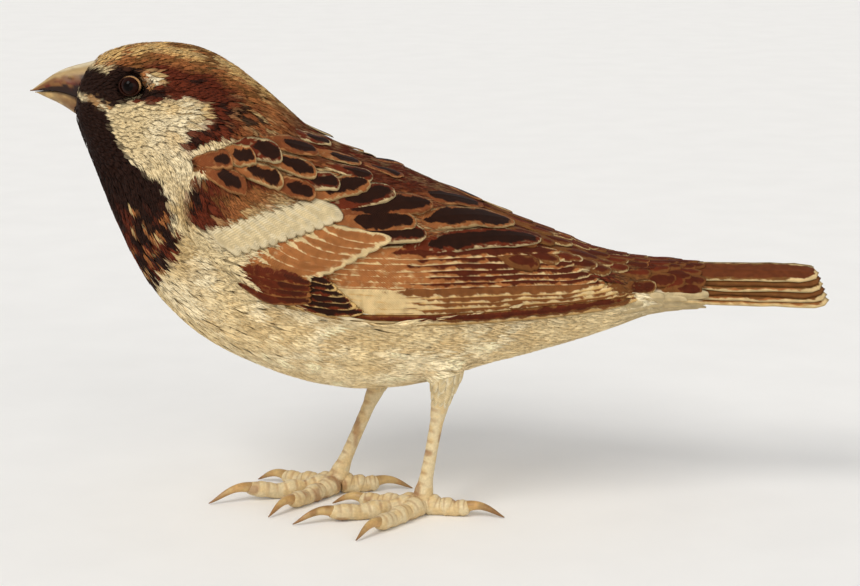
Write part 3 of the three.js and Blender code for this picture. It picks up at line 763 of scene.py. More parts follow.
def tuft(name, seed, spread, broad):
    draw = np.random.default_rng(seed)
    points, lifts, places, faces = [], [], [], []
    for barb in range(BARBS):
        lean = math.radians(spread) * (2 * (barb + 0.5) / BARBS - 1) + draw.normal(0, 0.05)
        length = (1 - 0.28 * (lean / math.radians(spread)) ** 2) * draw.uniform(0.82, 1.05)
        half = broad * draw.uniform(0.8, 1.15)
        layer = 0.1 * ((barb * 5) % BARBS) / BARBS
        base = len(points)

        def add(t, across, raised):
            bow = 0.16 * lean * t * t
            x = length * t * math.cos(lean) - across * math.sin(lean)
            y = length * t * math.sin(lean) * 0.8 - bow + across * math.cos(lean)
            points.append((x, y, 0.0))
            lifts.append(0.14 + layer + 0.6 * t ** 1.2 + raised)
            places.append((x, 0.5 + y))

        add(0.0, 0.0, 0.0)
        for t, width in ((0.34, 0.9), (0.72, 1.0)):
            add(t, -half * width, -0.04)
            add(t, half * width, -0.04)
            add(t, 0.0, 0.08)
        add(1.0, 0.0, 0.0)
        a, b = base + 1, base + 4
        faces += [(base, a, a + 2), (base, a + 2, a + 1), (base, a + 1, a)]
        faces += [(a, b, b + 2, a + 2), (a + 2, b + 2, b + 1, a + 1), (a + 1, b + 1, b, a)]
        end = base + 7
        faces += [(b, end, b + 2), (b + 2, end, b + 1), (b + 1, end, b)]
    obj = new_object(name, points, faces)
    write_attribute(obj.data, "lift", "FLOAT", lifts, "value")
    write_attribute(obj.data, "place", "FLOAT_VECTOR", [(*p, 0) for p in places], "vector")
    return obj


TUFTS = [tuft("tuft_a", 4, 26, 0.07), tuft("tuft_b", 5, 21, 0.078), tuft("tuft_c", 6, 31, 0.066)]
print("tufts:", [len(t.data.polygons) for t in TUFTS], "faces each")

# %% [markdown]
# Geometry Nodes plant the tufts. Points are scattered a set distance apart over a tract,
# each tuft is turned to stand on the skin and face along the lie, and once the copies are
# real mesh every point is laid back onto the skin and raised by its lift, so that tufts wrap
# round the body instead of sticking out. Each keeps a small patch of the bird's map.

# %% Tree that plants a tract
MOST_TUFTS = 6e6     # a square metre, before the ones that stand too close are dropped
TREE_NUMBERS = {"Spacing": 0.001, "Slimness": 0.6, "Ruffle": 0.2, "Patch": 0.003}
TREE_INPUTS = {"Skin": "Geometry", "Tract": "String", **dict.fromkeys(TREE_NUMBERS, "Float"),
               "Seed": "Int", **{f"Tuft {n}": "Object" for n in "ABC"}, "Finish": "Material"}


def shown(sockets, name=None):
    """The sockets that a node's data type uses; it hides the others."""
    return [s for s in sockets if s.enabled and name in (None, s.name)]


def coat_tree():
    tree = bpy.data.node_groups.new("plant_tract", "GeometryNodeTree")
    for name, kind in TREE_INPUTS.items():
        socket = tree.interface.new_socket(name, in_out="INPUT", socket_type=f"NodeSocket{kind}")
        if name in TREE_NUMBERS:
            socket.default_value = TREE_NUMBERS[name]
    tree.interface.new_socket("Coat", in_out="OUTPUT", socket_type="NodeSocketGeometry")
    enter = add_node(tree, "NodeGroupInput").outputs

    def node(kind, inputs=None, **settings):
        return add_node(tree, kind, inputs, **settings).outputs

    def named(kind, name):
        return shown(node("GeometryNodeInputNamedAttribute", {"Name": name}, data_type=kind), "Attribute")[0]

    def product(a, b):
        return maths(tree, "MULTIPLY", a, b)

    def vector_of(operation, a, b):
        second = "Scale" if operation == "SCALE" else 1
        return node("ShaderNodeVectorMath", {0: a, second: b}, operation=operation)[0]

    def random(low, high, seed_step, kind="FLOAT"):
        seed = maths(tree, "ADD", enter["Seed"], seed_step)
        made = add_node(tree, "FunctionNodeRandomValue", {"Seed": seed}, data_type=kind)
        ends = shown(made.inputs)
        ends[0].default_value, ends[1].default_value = low, high
        return shown(made.outputs)[0]

    def store(geometry, name, value, kind="FLOAT_VECTOR", domain="POINT"):
        made = add_node(tree, "GeometryNodeStoreNamedAttribute", {"Geometry": geometry, "Name": name},
                        data_type=kind, domain=domain)
        feed(tree, shown(made.inputs, "Value")[0], value)
        return made.outputs["Geometry"]

    def sampled(kind, name):
        """What the skin holds where it is nearest to each point."""
        inputs = {"Mesh": enter["Skin"], "Value": named(kind, name)}
        return node("GeometryNodeSampleNearestSurface", inputs, data_type=kind)["Value"]

    # Where tufts stand.
    scatter = node("GeometryNodeDistributePointsOnFaces", {
        "Mesh": enter["Skin"], "Distance Min": enter["Spacing"], "Density Max": MOST_TUFTS,
        "Density Factor": named("FLOAT", enter["Tract"]), "Seed": enter["Seed"],
    }, distribute_method="POISSON")
    keep = store(scatter["Points"], "root_uv", named("FLOAT_VECTOR", "OFBake"))
    keep = store(keep, "root", node("GeometryNodeInputPosition")[0])
    # How each is turned and stretched.
    stand = node("FunctionNodeAlignRotationToVector", {"Vector": named("FLOAT_VECTOR", "out")}, axis="Z")
    back = node("FunctionNodeAlignRotationToVector",
                {"Rotation": stand[0], "Vector": named("FLOAT_VECTOR", "lie")}, axis="X", pivot_axis="Z")
    yaw = node("ShaderNodeCombineXYZ", {"Z": product(random(-1, 1, 7), enter["Ruffle"])})
    bend = node("FunctionNodeEulerToRotation", {0: yaw[0]})
    ruffle = node("FunctionNodeRotateRotation", {0: back[0], 1: bend[0]}, rotation_space="LOCAL")
    length = product(named("FLOAT", "reach"), random(0.85, 1.15, 3))
    width = product(product(length, enter["Slimness"]), random(0.85, 1.2, 5))
    size = node("ShaderNodeCombineXYZ", {"X": length, "Y": width, "Z": 1.0})
    # One of the three tufts at each point, made real.
    choices = add_node(tree, "GeometryNodeJoinGeometry")
    for name in "ABC":
        source = node("GeometryNodeObjectInfo", {"Object": enter[f"Tuft {name}"], "As Instance": True})
        feed(tree, choices.inputs[0], source["Geometry"])
    plant = node("GeometryNodeInstanceOnPoints", {
        "Points": keep, "Instance": choices.outputs[0], "Pick Instance": True,
        "Instance Index": random(0, 2, 0, "INT"), "Rotation": ruffle[0], "Scale": size[0],
    })
    real = node("GeometryNodeRealizeInstances", {0: plant[0]})
    # Every point is laid on the skin, then raised by its lift.
    nearest = node("GeometryNodeProximity", {0: enter["Skin"]}, target_element="FACES")
    raised = product(named("FLOAT", "lift"), sampled("FLOAT", "rise"))
    off = vector_of("SCALE", sampled("FLOAT_VECTOR", "out"), raised)
    lay = node("GeometryNodeSetPosition",
               {"Geometry": real[0], "Position": vector_of("ADD", nearest["Position"], off)})
    # Its patch of the map, and its finish.
    centred = vector_of("SUBTRACT", named("FLOAT_VECTOR", "place"), (0.5, 0.5, 0))
    patch = vector_of("SCALE", centred, enter["Patch"])
    on_patch = vector_of("ADD", named("FLOAT_VECTOR", "root_uv"), patch)
    mapped = store(lay[0], "OFBake", on_patch, "FLOAT2", "CORNER")
    finish = node("GeometryNodeSetMaterial", {"Geometry": mapped, "Material": enter["Finish"]})
    add_node(tree, "NodeGroupOutput", {0: finish[0]})
    return tree


PLANT = coat_tree()


def set_inputs(modifier, **values):
    """Sets a modifier's inputs by the identifier of the socket that has each name."""
    for item in modifier.node_group.interface.items_tree:
        if item.in_out == "INPUT" and item.name in values:
            modifier[item.identifier] = values[item.name]


print("tree:", len(PLANT.nodes), "nodes")

# %% [markdown]
# Small feathers are matt and a little silky. Their colour is the tuft's own tint, which
# each vertex carries, broken by a fine grain as wide as a barb. The skin gets the same
# finish, darker, as down in the shade under the feathers would look.

# %% Finish of small feathers
COAT_SURFACE = {"Roughness": 0.72, "Sheen Weight": 0.02, "Sheen Roughness": 0.5,
                "Specular IOR Level": 0.12}
COAT_GRAIN = dict(detail=3, contrast=0.28, strength=0.25, depth=0.0002)
DOWN = tinted_material("down_on_skin", COAT_SURFACE, 0.0006, **COAT_GRAIN)
SMALL_FEATHERS = tinted_material("small_feathers", COAT_SURFACE, 0.0005, **COAT_GRAIN)
skin_mesh.materials.append(DOWN)


def keep_attributes(mesh, wanted):
    """Only the wanted attributes stay on a finished piece."""
    for attribute in [a.name for a in mesh.attributes if not a.name.startswith(".")]:
        if attribute not in wanted:
            found = mesh.attributes.get(attribute)
            if found is not None and not found.is_required:
                mesh.attributes.remove(found)


def read_attribute(mesh, name, width, field):
    out = np.empty(len(mesh.vertices) * width, np.float32)
    mesh.attributes[name].data.foreach_get(field, out)
    return out.reshape(-1, width).astype(float)


def triangles(mesh):
    return sum(len(p.vertices) - 2 for p in mesh.polygons)


TIP_SHOWS = 0.6      # share of a tuft's length at which it takes its colour, where it isn't covered
SLIMNESS = 0.62      # a tuft's width as a share of its length
RUFFLE = 0.22        # radians by which tufts turn from the lie


def coat_piece(name, tract, spacing, seed):
    """One tract of small feathers, each coloured by the place that its tip covers, with painted shade near
    the skin.
    """
    modifier = skin.modifiers.new("plant", "NODES")
    modifier.node_group = PLANT
    set_inputs(modifier, Tract=tract, Spacing=spacing * MM, Seed=seed, Slimness=SLIMNESS, Ruffle=RUFFLE,
               Finish=SMALL_FEATHERS, **{f"Tuft {n}": t for n, t in zip("ABC", TUFTS)})
    mesh = made_real(skin)
    skin.modifiers.remove(modifier)
    mesh.name = name
    root = read_attribute(mesh, "root", 3, "vector") / MM - SHIFT
    lie_here, out_here = (read_attribute(mesh, key, 3, "vector") for key in ("lie", "out"))
    ahead = lie_here - out_here * np.einsum("ij,ij->i", lie_here, out_here)[:, None]
    seen = root + ahead * read_attribute(mesh, "reach", 1, "value") / MM * TIP_SHOWS
    lift = read_attribute(mesh, "lift", 1, "value")[:, 0]
    own = hashed(np.floor(root * 37).astype(np.int64) + 5000, 77)
    # Painted shade and light: a tuft is darker near the skin and lighter towards its raised tip, by its lift,
    # with a random tone for each tuft.
    colour = plumage(seen) * (0.9 + 0.24 * smooth(0.1, 0.8, lift) + 0.18 * (own - 0.5))[:, None]
    write_colour(mesh, "tint", np.clip(colour, 0, 1))
    keep_attributes(mesh, ("position", "tint", "OFBake", "material_index", "sharp_face"))
    mesh.polygons.foreach_set("use_smooth", [True] * len(mesh.polygons))
    print(name, triangles(mesh), "triangles")
    return placed(name, mesh)


# %% [markdown]
# Each tract is planted by itself, left and right, with its own seed. Spacing is closest on
# the head and thighs, where tufts are short, and widest below, where they are long.

# %% Plant the coat
TRACT_SPACING = {"head": 0.57, "neck": 0.68, "upper": 0.74, "under": 0.97, "thigh": 0.58}
coat = {}
for number, (tract, spacing) in enumerate(TRACT_SPACING.items()):
    for half, side in enumerate(SIDES):
        name = f"coat_{tract}_{side}"
        coat[name] = coat_piece(name, f"{tract}_tract_{side}", spacing, 31 + 2 * number + half)

# %% [markdown]
# Wing feathers are large enough to be seen one by one: a shaft, a vane on each side of
# it, a dark centre and a pale fringe. They could be flat cards with a picture on them, but
# they have to curve round the wing and overlap like tiles, so each is a closed blade laid
# along its own path on the bird's map. Its surface numbers say where the fringe and the
# dark centre are, and one finish paints them all.

# %% A blade laid along a path
ACROSS = np.array([-1, -0.72, -0.4, -0.1, 0, 0.1, 0.4, 0.72, 1.0])
ROWS, COLUMNS = 13, len(ACROSS)
# Points that have a twin on the underside; those of the rim are shared.
INNER = np.zeros((ROWS, COLUMNS), bool)
INNER[1:-1, 1:-1] = True
BLADE_POINTS = ROWS * COLUMNS + int(INNER.sum())
# In mm: half a blade's thickness, its shaft's height, and how far its sides curve down.
BLADE_HALF, SHAFT_HIGH, BLADE_CURVE = 0.11, 0.1, 0.18
CORE_POINT = 0.24    # share of the length past its start over which a dark centre widens


class MapSurface:
    """The bird's map as something to lay feathers on: second coordinate is the angle."""

    def __init__(self, table):
        self.table = table

    def scale(self, x, angle):
        return read_map(self.table, x, angle)

    def at(self, x, angle, lift):
        return on_map(self.table, x, angle, lift)


class Feathers:
    """Gathers blades of one piece, then joins them as one mesh."""

    def __init__(self, surface):
        self.surface = surface
        self.points, self.faces = [], []
        self.values = {name: [] for name in ("edge_gap", "core_gap", "barb")}
        self.colours = {name: [] for name in ("edge_colour", "vane_colour", "core_colour")}
        self.cells = []

    def blade(self, path, half, level, colours, fringe=0.4, core=0.9, core_from=0.15, rise=0.35,
              tilt=0.12, tip=0.22, sink=0.4, pale_tip=None, side=1, seed=0):
        """path: root, middle and tip as (x, angle). colours: fringe, vane, core. Sizes in mm."""
        draw = np.random.default_rng(1000 + seed)
        fringe, core_from = fringe * draw.uniform(0.8, 1.25), core_from + draw.normal(0, 0.025)
        root, middle, end = (np.array(p, float) for p in path)
        bend = 2 * middle - (root + end) / 2
        t = 1 - (1 - np.linspace(0, 1, ROWS)) ** 1.5
        line = ((1 - t) ** 2)[:, None] * root + (2 * t * (1 - t))[:, None] * bend + (t ** 2)[:, None] * end
        radius = self.surface.scale(line[:, 0], line[:, 1])
        flat = np.stack([line[:, 0], line[:, 1] * radius.mean()], -1)
        ahead = np.gradient(flat, axis=0)
        ahead /= np.linalg.norm(ahead, axis=1)[:, None]
        length = np.linalg.norm(np.diff(flat, axis=0), axis=1).sum()
        swell = np.clip(0.45 + 0.55 * np.sin(np.clip(t / 0.5, 0, 1) * math.pi / 2), 0, 1)
        close = np.sqrt(np.clip(1 - (np.clip(t - (1 - tip), 0, 1) / tip) ** 2, 0, 1))
        width = half * swell * close * (1 + 0.05 * draw.normal(size=ROWS) * (t < 0.95))
        across = np.broadcast_to(ACROSS, (ROWS, COLUMNS))
        shift = across * width[:, None]
        x = line[:, :1] - shift * ahead[:, 1:]
        angle = line[:, 1:] + shift * ahead[:, :1] / radius[:, None]
        body = BLADE_HALF * np.sqrt(np.clip(1 - across ** 2, 0, 1)) * np.sqrt(close)[:, None]
        shaft = SHAFT_HIGH * (np.abs(across) < 0.05) * (1 - 0.6 * t)[:, None]
        lift = level + rise * t[:, None] + tilt * across * swell[:, None] - BLADE_CURVE * across ** 2
        lift = lift - sink * ((1 - t) ** 3)[:, None]
        top = self.surface.at(x, side * angle, lift + body + shaft)
        under = self.surface.at(x, side * angle, lift - body)
        base = len(self.cells) * BLADE_POINTS
        index = base + np.arange(ROWS * COLUMNS).reshape(ROWS, COLUMNS)
        below = index.copy()
        below[INNER] = base + np.arange(ROWS * COLUMNS, BLADE_POINTS)
        for i in range(ROWS - 1):
            for j in range(COLUMNS - 1):
                one = (index[i, j], index[i, j + 1], index[i + 1, j + 1], index[i + 1, j])
                two = (below[i, j], below[i + 1, j], below[i + 1, j + 1], below[i, j + 1])
                if side < 0:
                    one, two = one[::-1], two[::-1]
                self.faces += [one[::-1], two[::-1]]
        self.points += [top.reshape(-1, 3), under[INNER]]
        margin = np.minimum(width[:, None] * (1 - np.abs(across)), (1 - t)[:, None] * length * 0.9)
        gap = np.minimum(margin - fringe, (1 - t)[:, None] * length - (pale_tip or fringe))
        narrow = CORE_POINT * (1 - core_from)
        point = np.clip((core_from + narrow - t) / narrow, 0, 1)[:, None] ** 1.6
        deep = np.minimum(margin - core - 0.8 * half * point, (t[:, None] - core_from) * length)
        barb = t[:, None] * length - np.abs(shift) * 0.9
        for name, value in (("edge_gap", gap), ("core_gap", deep), ("barb", barb)):
            self.values[name] += [value.ravel(), value[INNER]]
        for name, colour in zip(self.colours, colours):
            self.colours[name].append(np.tile(np.clip(colour, 0, 1), (BLADE_POINTS, 1)))
        place = np.stack([0.5 + 0.5 * across, np.broadcast_to(t[:, None], across.shape)], -1)
        self.cells.append(np.concatenate([place.reshape(-1, 2), place[INNER]]))

    def piece(self, name, material):
        obj = new_object(name, to_row(np.concatenate(self.points)), self.faces)
        mesh = obj.data
        for key, value in self.values.items():
            write_attribute(mesh, key, "FLOAT", np.concatenate(value), "value")
        for key, value in self.colours.items():
            write_colour(mesh, key, np.concatenate(value))
        grid = math.ceil(math.sqrt(len(self.cells)))
        spread = [(np.array([k % grid, k // grid]) + 0.04 + 0.92 * cell) / grid
                  for k, cell in enumerate(self.cells)]
        write_uv(mesh, "OFBake", np.concatenate(spread)[corner_points(mesh)])
        mesh.materials.append(material)
        print(name, len(self.cells), "feathers,", triangles(mesh), "triangles")
        return obj


# %% [markdown]
# The finish of a large feather reads three numbers on its surface: how far it is inside
# the fringe, how far inside the dark centre, and its place along the barbs. The first two
# are thresholds with a little noise, so every fringe is crisp but not drawn with a ruler.
# The barbs become fine slanting lines in colour and in bump.

# %% Finish of large feathers
def vane_material(name, line, mottle):
    """The finish of every large feather; line is the width of a barb in mm."""
    material, tree = started(name, {"Roughness": 0.62, "Specular IOR Level": 0.08})

    def number(key):
        return stored(tree, key)["Fac"]

    def tone(key):
        return stored(tree, f"{key}_colour")["Color"]

    def swung(value, share):
        """Noise made to run either side of zero, times a share."""
        return maths(tree, "MULTIPLY", maths(tree, "SUBTRACT", value, 0.5), share)

    def outlined(key, lump, swing, low, high):
        """1 inside an outline that noise with lumps of a size in metres moves by some mm."""
        ragged = maths(tree, "ADD", swung(noise(tree, lump), swing), stray)
        return ranged(tree, maths(tree, "ADD", number(key), ragged), low, high)

    strand = add_node(tree, "ShaderNodeTexNoise", {"Scale": 3.2, "Detail": 2, "W": number("barb")},
                      noise_dimensions="1D")
    stray = swung(strand.outputs["Fac"], 0.6)
    in_vane = outlined("edge_gap", 0.0018, 1.7, -0.1, 0.12)
    in_core = outlined("core_gap", 0.0022, 2.4, -0.15, 0.18)
    flecks = maths(tree, "ADD", noise(tree, 0.0011), maths(tree, "MULTIPLY", stray, 0.3))
    vane = blended(tree, "MIX", ranged(tree, flecks, 0.55, 0.66, 0.0, 0.3), tone("vane"), tone("edge"))
    colour = blended(tree, "MIX", in_vane, tone("edge"), vane)
    colour = blended(tree, "MIX", in_core, colour, tone("core"))
    wave = maths(tree, "SINE", maths(tree, "MULTIPLY", number("barb"), 2 * math.pi / line))
    barbs = maths(tree, "MULTIPLY", maths(tree, "ADD", wave, 1), 0.5)
    cloud = ranged(tree, noise(tree, 0.0013, 4), 0.3, 0.7, 1 - mottle, 1 + mottle)
    shade = maths(tree, "MULTIPLY", ranged(tree, barbs, 0, 1, 0.86, 1.12), cloud)
    coloured(tree, blended(tree, "MULTIPLY", 1.0, colour, shade), barbs, 0.35, 0.00012)
    return material


LARGE_FEATHERS = vane_material("large_feathers", 0.42, 0.16)

# %% [markdown]
# A folded wing is tiled from the tail forward: primaries lowest, then secondaries over
# them, the three broad tertials, the rows of coverts, and the scapulars on top. Within a row
# each upper feather covers the inner edge of the one below it. Rows are written as where
# their first and last feathers root, bend and end, on the bird's side in x and height.

# %% Feathers of a wing
DARK_VANE = 0.6 * CHESTNUT + 0.4 * INK


def between(first, last, share):
    return tuple(a + (b - a) * share for a, b in zip(first, last))


def side_path(table, *places):
    return [(x, angle_at(table, x, z)) for x, z in places]


def row(count, first, last, low, high, half, colours, **sizes):
    """A row's feathers, lowest first: ((root, middle, tip), half width, level, colours, sizes)."""
    out = []
    for k in range(count):
        share = k / max(count - 1, 1)
        places = [between(a, b, share) for a, b in zip(first, last)]
        out.append((places, half, low + (high - low) * share, colours, sizes))
    return out


def wing_rows():
    rows = []
    # The outermost primary's dark edge, the other primaries, then secondaries.
    rows += row(1, ((-16, 40.9), (8, 40.0), (37, 41.5)), ((-16, 40.9), (8, 40.0), (37, 41.5)),
                -0.45, -0.45, 0.75, (OLIVE, CHESTNUT, DARK_VANE),
                fringe=0.2, core=0.35, core_from=0.1, tilt=0.1)
    rows += row(6, ((-26, 41.9), (6, 40.0), (40.3, 41.6)), ((-24, 46.6), (8, 45.1), (32.5, 44.5)),
                -1.1, -0.75, 1.75,
                (0.8 * OCHRE + 0.2 * RUSSET, 0.55 * BUFF + 0.45 * OCHRE,
                 0.55 * OLIVE + 0.3 * CHESTNUT + 0.15 * RUSSET),
                fringe=0.5, core=0.55, core_from=0.27, tilt=0.2)
    rows += row(7, ((-25, 46.6), (10, 45.8), (32.5, 44.6)), ((-24, 53.4), (6, 52.0), (24, 50.2)),
                -0.8, -0.4, 1.7, (0.5 * OCHRE + 0.5 * BUFF, RUSSET, DARK_VANE),
                fringe=0.4, core=0.55, core_from=0.25, tilt=0.2)
    # Primary coverts, nested, and the alula in front of them.
    rows += row(6, ((-28, 43.6), (-20, 42.1), (-11.8, 41.6)), ((-29, 48.6), (-23, 48.8), (-17.6, 46.9)),
                -0.75, -0.3, 1.3, (OCHRE, CHESTNUT, INK), fringe=0.3, core=0.5, core_from=0.32, tip=0.4)
    rows += row(4, ((-34.5, 45.8), (-29, 44.3), (-21.0, 43.8)), ((-34, 48.8), (-28.5, 48.8), (-21.0, 46.9)),
                -0.4, -0.1, 1.4, (0.5 * OLIVE + 0.5 * RUSSET, 0.85 * CHESTNUT, 0.4 * CHESTNUT + 0.6 * INK),
                fringe=0.36, core=0.6, core_from=0.62, tip=0.45)
    # Greater coverts.
    rows += row(8, ((-34.0, 53.4), (-28.8, 49.2), (-20.8, 48.0)), ((-20, 58.0), (-14.5, 55.4), (-6.8, 54.6)),
                -0.4, 0.0, 1.6, (0.35 * OCHRE + 0.65 * BUFF, RUSSET, 0.75 * RUSSET + 0.25 * OLIVE),
                fringe=0.68, core=0.95, core_from=0.2)
    # Median coverts: the pale bar.
    rows += row(12, ((-41.2, 56.3), (-37.6, 54.9), (-33.4, 52.4)),
                ((-23.6, 61.2), (-20.0, 60.4), (-15.4, 58.2)),
                0.0, 0.2, 1.75, (0.8 * BUFF, 0.35 * CREAM + 0.5 * BUFF, 0.9 * BUFF),
                fringe=0.2, core=1.0, core_from=0.3, rise=0.0, sink=1.6, tilt=0.02)
    return rows


# Tertials, scapulars and the mantle's edge, lowest first: where each dark centre starts and
# ends (x, height), and its half width.
DARK_CENTRES = [
    (-2.6, 52.8, 19.5, 52.3, 1.15), (-1.8, 57.2, 14.6, 55.2, 1.7), (-2.1, 61.4, 8.8, 58.2, 1.35),
    (-13.5, 56.3, -1.7, 55.1, 0.8), (-15.0, 58.0, -3.5, 57.2, 1.1), (-15.3, 59.6, -0.5, 59.5, 1.3),
    (-16.4, 61.0, -7.4, 62.0, 1.15), (-20.4, 62.3, -11.8, 63.6, 0.8), (-11.1, 66.0, -6.0, 64.2, 0.9),
    (-16.0, 66.2, -11.4, 64.6, 0.8), (-18.7, 68.4, -13.6, 66.5, 0.95), (-25.9, 64.2, -21.4, 62.8, 0.7),
    (-22.7, 65.0, -17.2, 64.1, 0.8), (-27.1, 68.4, -21.3, 66.1, 1.0), (-26.9, 71.0, -21.3, 68.9, 0.95),
    (-23.0, 71.6, -19.4, 70.0, 0.6), (-33.3, 67.3, -27.0, 65.0, 0.85), (-38.5, 66.4, -33.4, 64.3, 0.9),
    (-31.9, 70.5, -27.5, 69.4, 1.2), (-35.7, 69.2, -32.0, 69.2, 0.8), (-39.2, 68.3, -36.1, 68.6, 0.6),
]
# How far these feathers reach past their dark centre: beside it, at the tip, and in extra width.
CENTRE_BORDER, CENTRE_TIP, CENTRE_SPREAD = 0.95, 1.1, 0.35


def build_wing(name, side):
    feathers = Feathers(MapSurface(WING_MAP))
    rows = wing_rows()
    for seed, (places, half, level, colours, sizes) in enumerate(rows):
        path = side_path(WING_MAP, *places)
        feathers.blade(path, half, level, colours, side=side, seed=seed, **sizes)
    for k, (x0, z0, x1, z1, dark) in enumerate(DARK_CENTRES):
        start, end = (np.array(place) for place in side_path(WING_MAP, (x0, z0), (x1, z1)))
        radius = float(read_map(WING_MAP, (x0 + x1) / 2, (start[1] + end[1]) / 2))
        long = math.hypot(end[0] - start[0], (end[1] - start[1]) * radius)
        bare = 2.2 + 0.1 * long
        ahead = (end - start) / long
        half = dark + CENTRE_BORDER + CENTRE_SPREAD
        path = [start - ahead * (bare + CENTRE_TIP), (start + end) / 2, end + ahead * CENTRE_TIP]
        path = [(a, max(b, 0.95 * half / radius)) for a, b in path]
        on_ridge = 0.45 * (1 - smooth(0.15, 0.55, path[1][1]))
        edge = (0.4 * BUFF + 0.6 * TAN, 0.8 * TAN + 0.2 * RUSSET, 0.8 * RUSSET + 0.2 * TAN)[k % 3]
        vane = (CHESTNUT, 0.3 * RUSSET + 0.7 * CHESTNUT, 0.7 * RUSSET + 0.3 * CHESTNUT)[k * 2 % 3]
        feathers.blade(path, half, 0.022 * k - on_ridge, (edge, vane, INK), fringe=0.38,
                       core=CENTRE_BORDER, core_from=bare / (bare + long + 2 * CENTRE_TIP), side=side,
                       seed=len(rows) + k, tip=0.3, sink=0.8)
    return feathers.piece(name, LARGE_FEATHERS)


wings = {f"wing_{word}": build_wing(f"wing_{word}", side) for word, side in SIDES.items()}

# %% [markdown]
# Over the rump and the root of the tail lie soft scallops: chestnut feathers with olive and
# pale crescents above, and long buff ones below. They are the same blades, laid on the
# body's own map in rows from the tail forward, so each row hides the roots of the one behind.

# %% Rump and tail coverts
RUMP_STEPS = (46.5, 44.0, 41.5, 37.5, 33.5, 30.0, 26.5, 23.0, 19.5, 16.0)
VENT_STEPS = (47.5, 44.0, 40.5, 37.0)


def build_rump():
    feathers = Feathers(MapSurface(BODY_MAP))
    seed = 500
    for step, x in enumerate(RUMP_STEPS):
        for k in range(-5, 6):
            mark, shift, tone = hashed(np.array([[k + 50, step, n] for n in (9, 10, 11)]), 5)
            angle = (k + (0.5 if step % 2 else 0.0) + 0.6 * (shift - 0.5)) * 0.3
            if abs(angle) > 1.5 or (x < 34 and abs(angle) > 1.12):
                continue
            plain = 0.6 * OLIVE + 0.4 * CHESTNUT
            scallops = (OLIVE, TAN, 0.5 * BUFF + 0.5 * TAN, RUSSET, TAN)
            edge = scallops[int(mark * 4.99)] if 18 < x < 38 else plain
            centre = CHESTNUT if tone < 0.7 else 0.4 * INK + 0.6 * CHESTNUT
            path = [(x - 6.5, angle * 0.98), (x + shift, angle), (x + 3.0 + 2.2 * shift, angle * 1.02)]
            tones = (edge, 0.7 * OLIVE + 0.3 * CHESTNUT, centre)
            feathers.blade(path, 1.5 + 0.3 * tone, -0.5 + 0.05 * step, tones, fringe=0.34,
                           core=0.85, core_from=0.3, rise=0.2, tip=0.45, seed=seed, tilt=0)
            seed += 1
    return feathers.piece("rump_coverts", LARGE_FEATHERS)


def build_vent():
    feathers = Feathers(MapSurface(BODY_MAP))
    seed = 700
    for step, x in enumerate(VENT_STEPS):
        for k in range(-6, 7):
            shift = float(hashed(np.array([[k + 50, step, 12]]), 5)[0]) - 0.5
            turn = (k + (0.5 if step % 2 else 0.0) + 0.3 * shift) * 0.25
            if abs(turn) > 1.56:
                continue
            angle, side = math.pi - abs(turn), (-1 if turn < 0 else 1)
            path = [(x - 8, angle), (x + shift, angle), (x + 3 + 2 * shift, angle)]
            tones = (0.85 * BUFF, 0.7 * BUFF + 0.15 * OLIVE, 0.6 * BUFF + 0.2 * OCHRE)
            feathers.blade(path, 1.35, -0.45 + 0.06 * step, tones, fringe=0.35, core=0.8, core_from=0.3,
                           rise=0.15, tip=0.75, side=side, seed=seed, tilt=0)
            seed += 1
    return feathers.piece("vent_coverts", LARGE_FEATHERS)


rump_coverts = build_rump()
vent_coverts = build_vent()

# %% [markdown]
# The tail is closed like a hand of cards: six feathers on each side, each a little lower
# and further out than the last, sloping like a roof. The middle pair lies on top. All
# are dark along the shaft with paler edges and frayed, light tips.

# %% Tail feathers
TAIL_SLOPE = math.radians(24)
TAIL_RANKS = 6
TAIL_STEP, TAIL_DROP = 0.72, 0.78     # mm outward and down from each pair to the next


class TailSurface:
    """A sloping plane for one pair of tail feathers: second coordinate is mm down the slope."""

    def __init__(self, rank, top, side):
        self.y, self.z, self.side = 2.8 + TAIL_STEP * rank, top - TAIL_DROP * rank, side

    def scale(self, x, _):
        return np.ones_like(np.asarray(x, float))

    def at(self, x, across, lift):
        side, down = self.side, across * self.side
        y = self.y + down * math.cos(TAIL_SLOPE) + lift * math.sin(TAIL_SLOPE)
        z = self.z - down * math.sin(TAIL_SLOPE) + lift * math.cos(TAIL_SLOPE)
        return np.stack([x + 0 * z, -side * y, z - 0.0006 * (x - 46) ** 2], -1)


def build_tail(name, side):
    low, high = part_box(name)
    tip, top = high.x / MM - SHIFT[0], high.z / MM - 0.9
    brown = 0.7 * OLIVE + 0.3 * CHESTNUT
    pale = 0.5 * OCHRE + 0.5 * BUFF
    # Fringe, vane and centre of each pair, from the middle pair outward.
    styles = [(pale, OLIVE, 0.75 * CHESTNUT + 0.25 * OLIVE), (brown, OLIVE, brown),
              (pale, RUSSET, OLIVE), (brown, OLIVE, brown), (pale, RUSSET, brown),
              (pale, 0.6 * OCHRE + 0.4 * RUSSET, 0.5 * OLIVE + 0.5 * RUSSET)]
    feathers = Feathers(None)
    for rank in reversed(range(TAIL_RANKS)):
        feathers.surface = TailSurface(rank, top, side)
        end = tip - 1.4 + 0.26 * rank
        path = [(38 + rank, 0.0), (56, 0.05), (end, 0.15 * rank)]
        feathers.blade(path, 3.1, -0.15, styles[rank], fringe=0.5, core=0.85, core_from=0.05,
                       rise=0.0, tilt=0.0, tip=0.12, sink=0.0, pale_tip=5.0 - 0.5 * rank,
                       side=side, seed=900 + rank)
    return feathers.piece(name.replace("tail", "tail_feathers"), LARGE_FEATHERS)


tails = {f"tail_{word}": build_tail(f"tail_{word}", side) for word, side in SIDES.items()}

# %% [markdown]
# The bill is two horn shells that close on a dark, gently curved edge. Each is lofted from
# rings along x: half an ellipse in section, tapering to the tip, with many more rings than
# the working solid has so that the culmen is a clean curve. Horn is layered, so its colour
# is written by place: pale along the culmen, brown on the sides and dark at the edge.

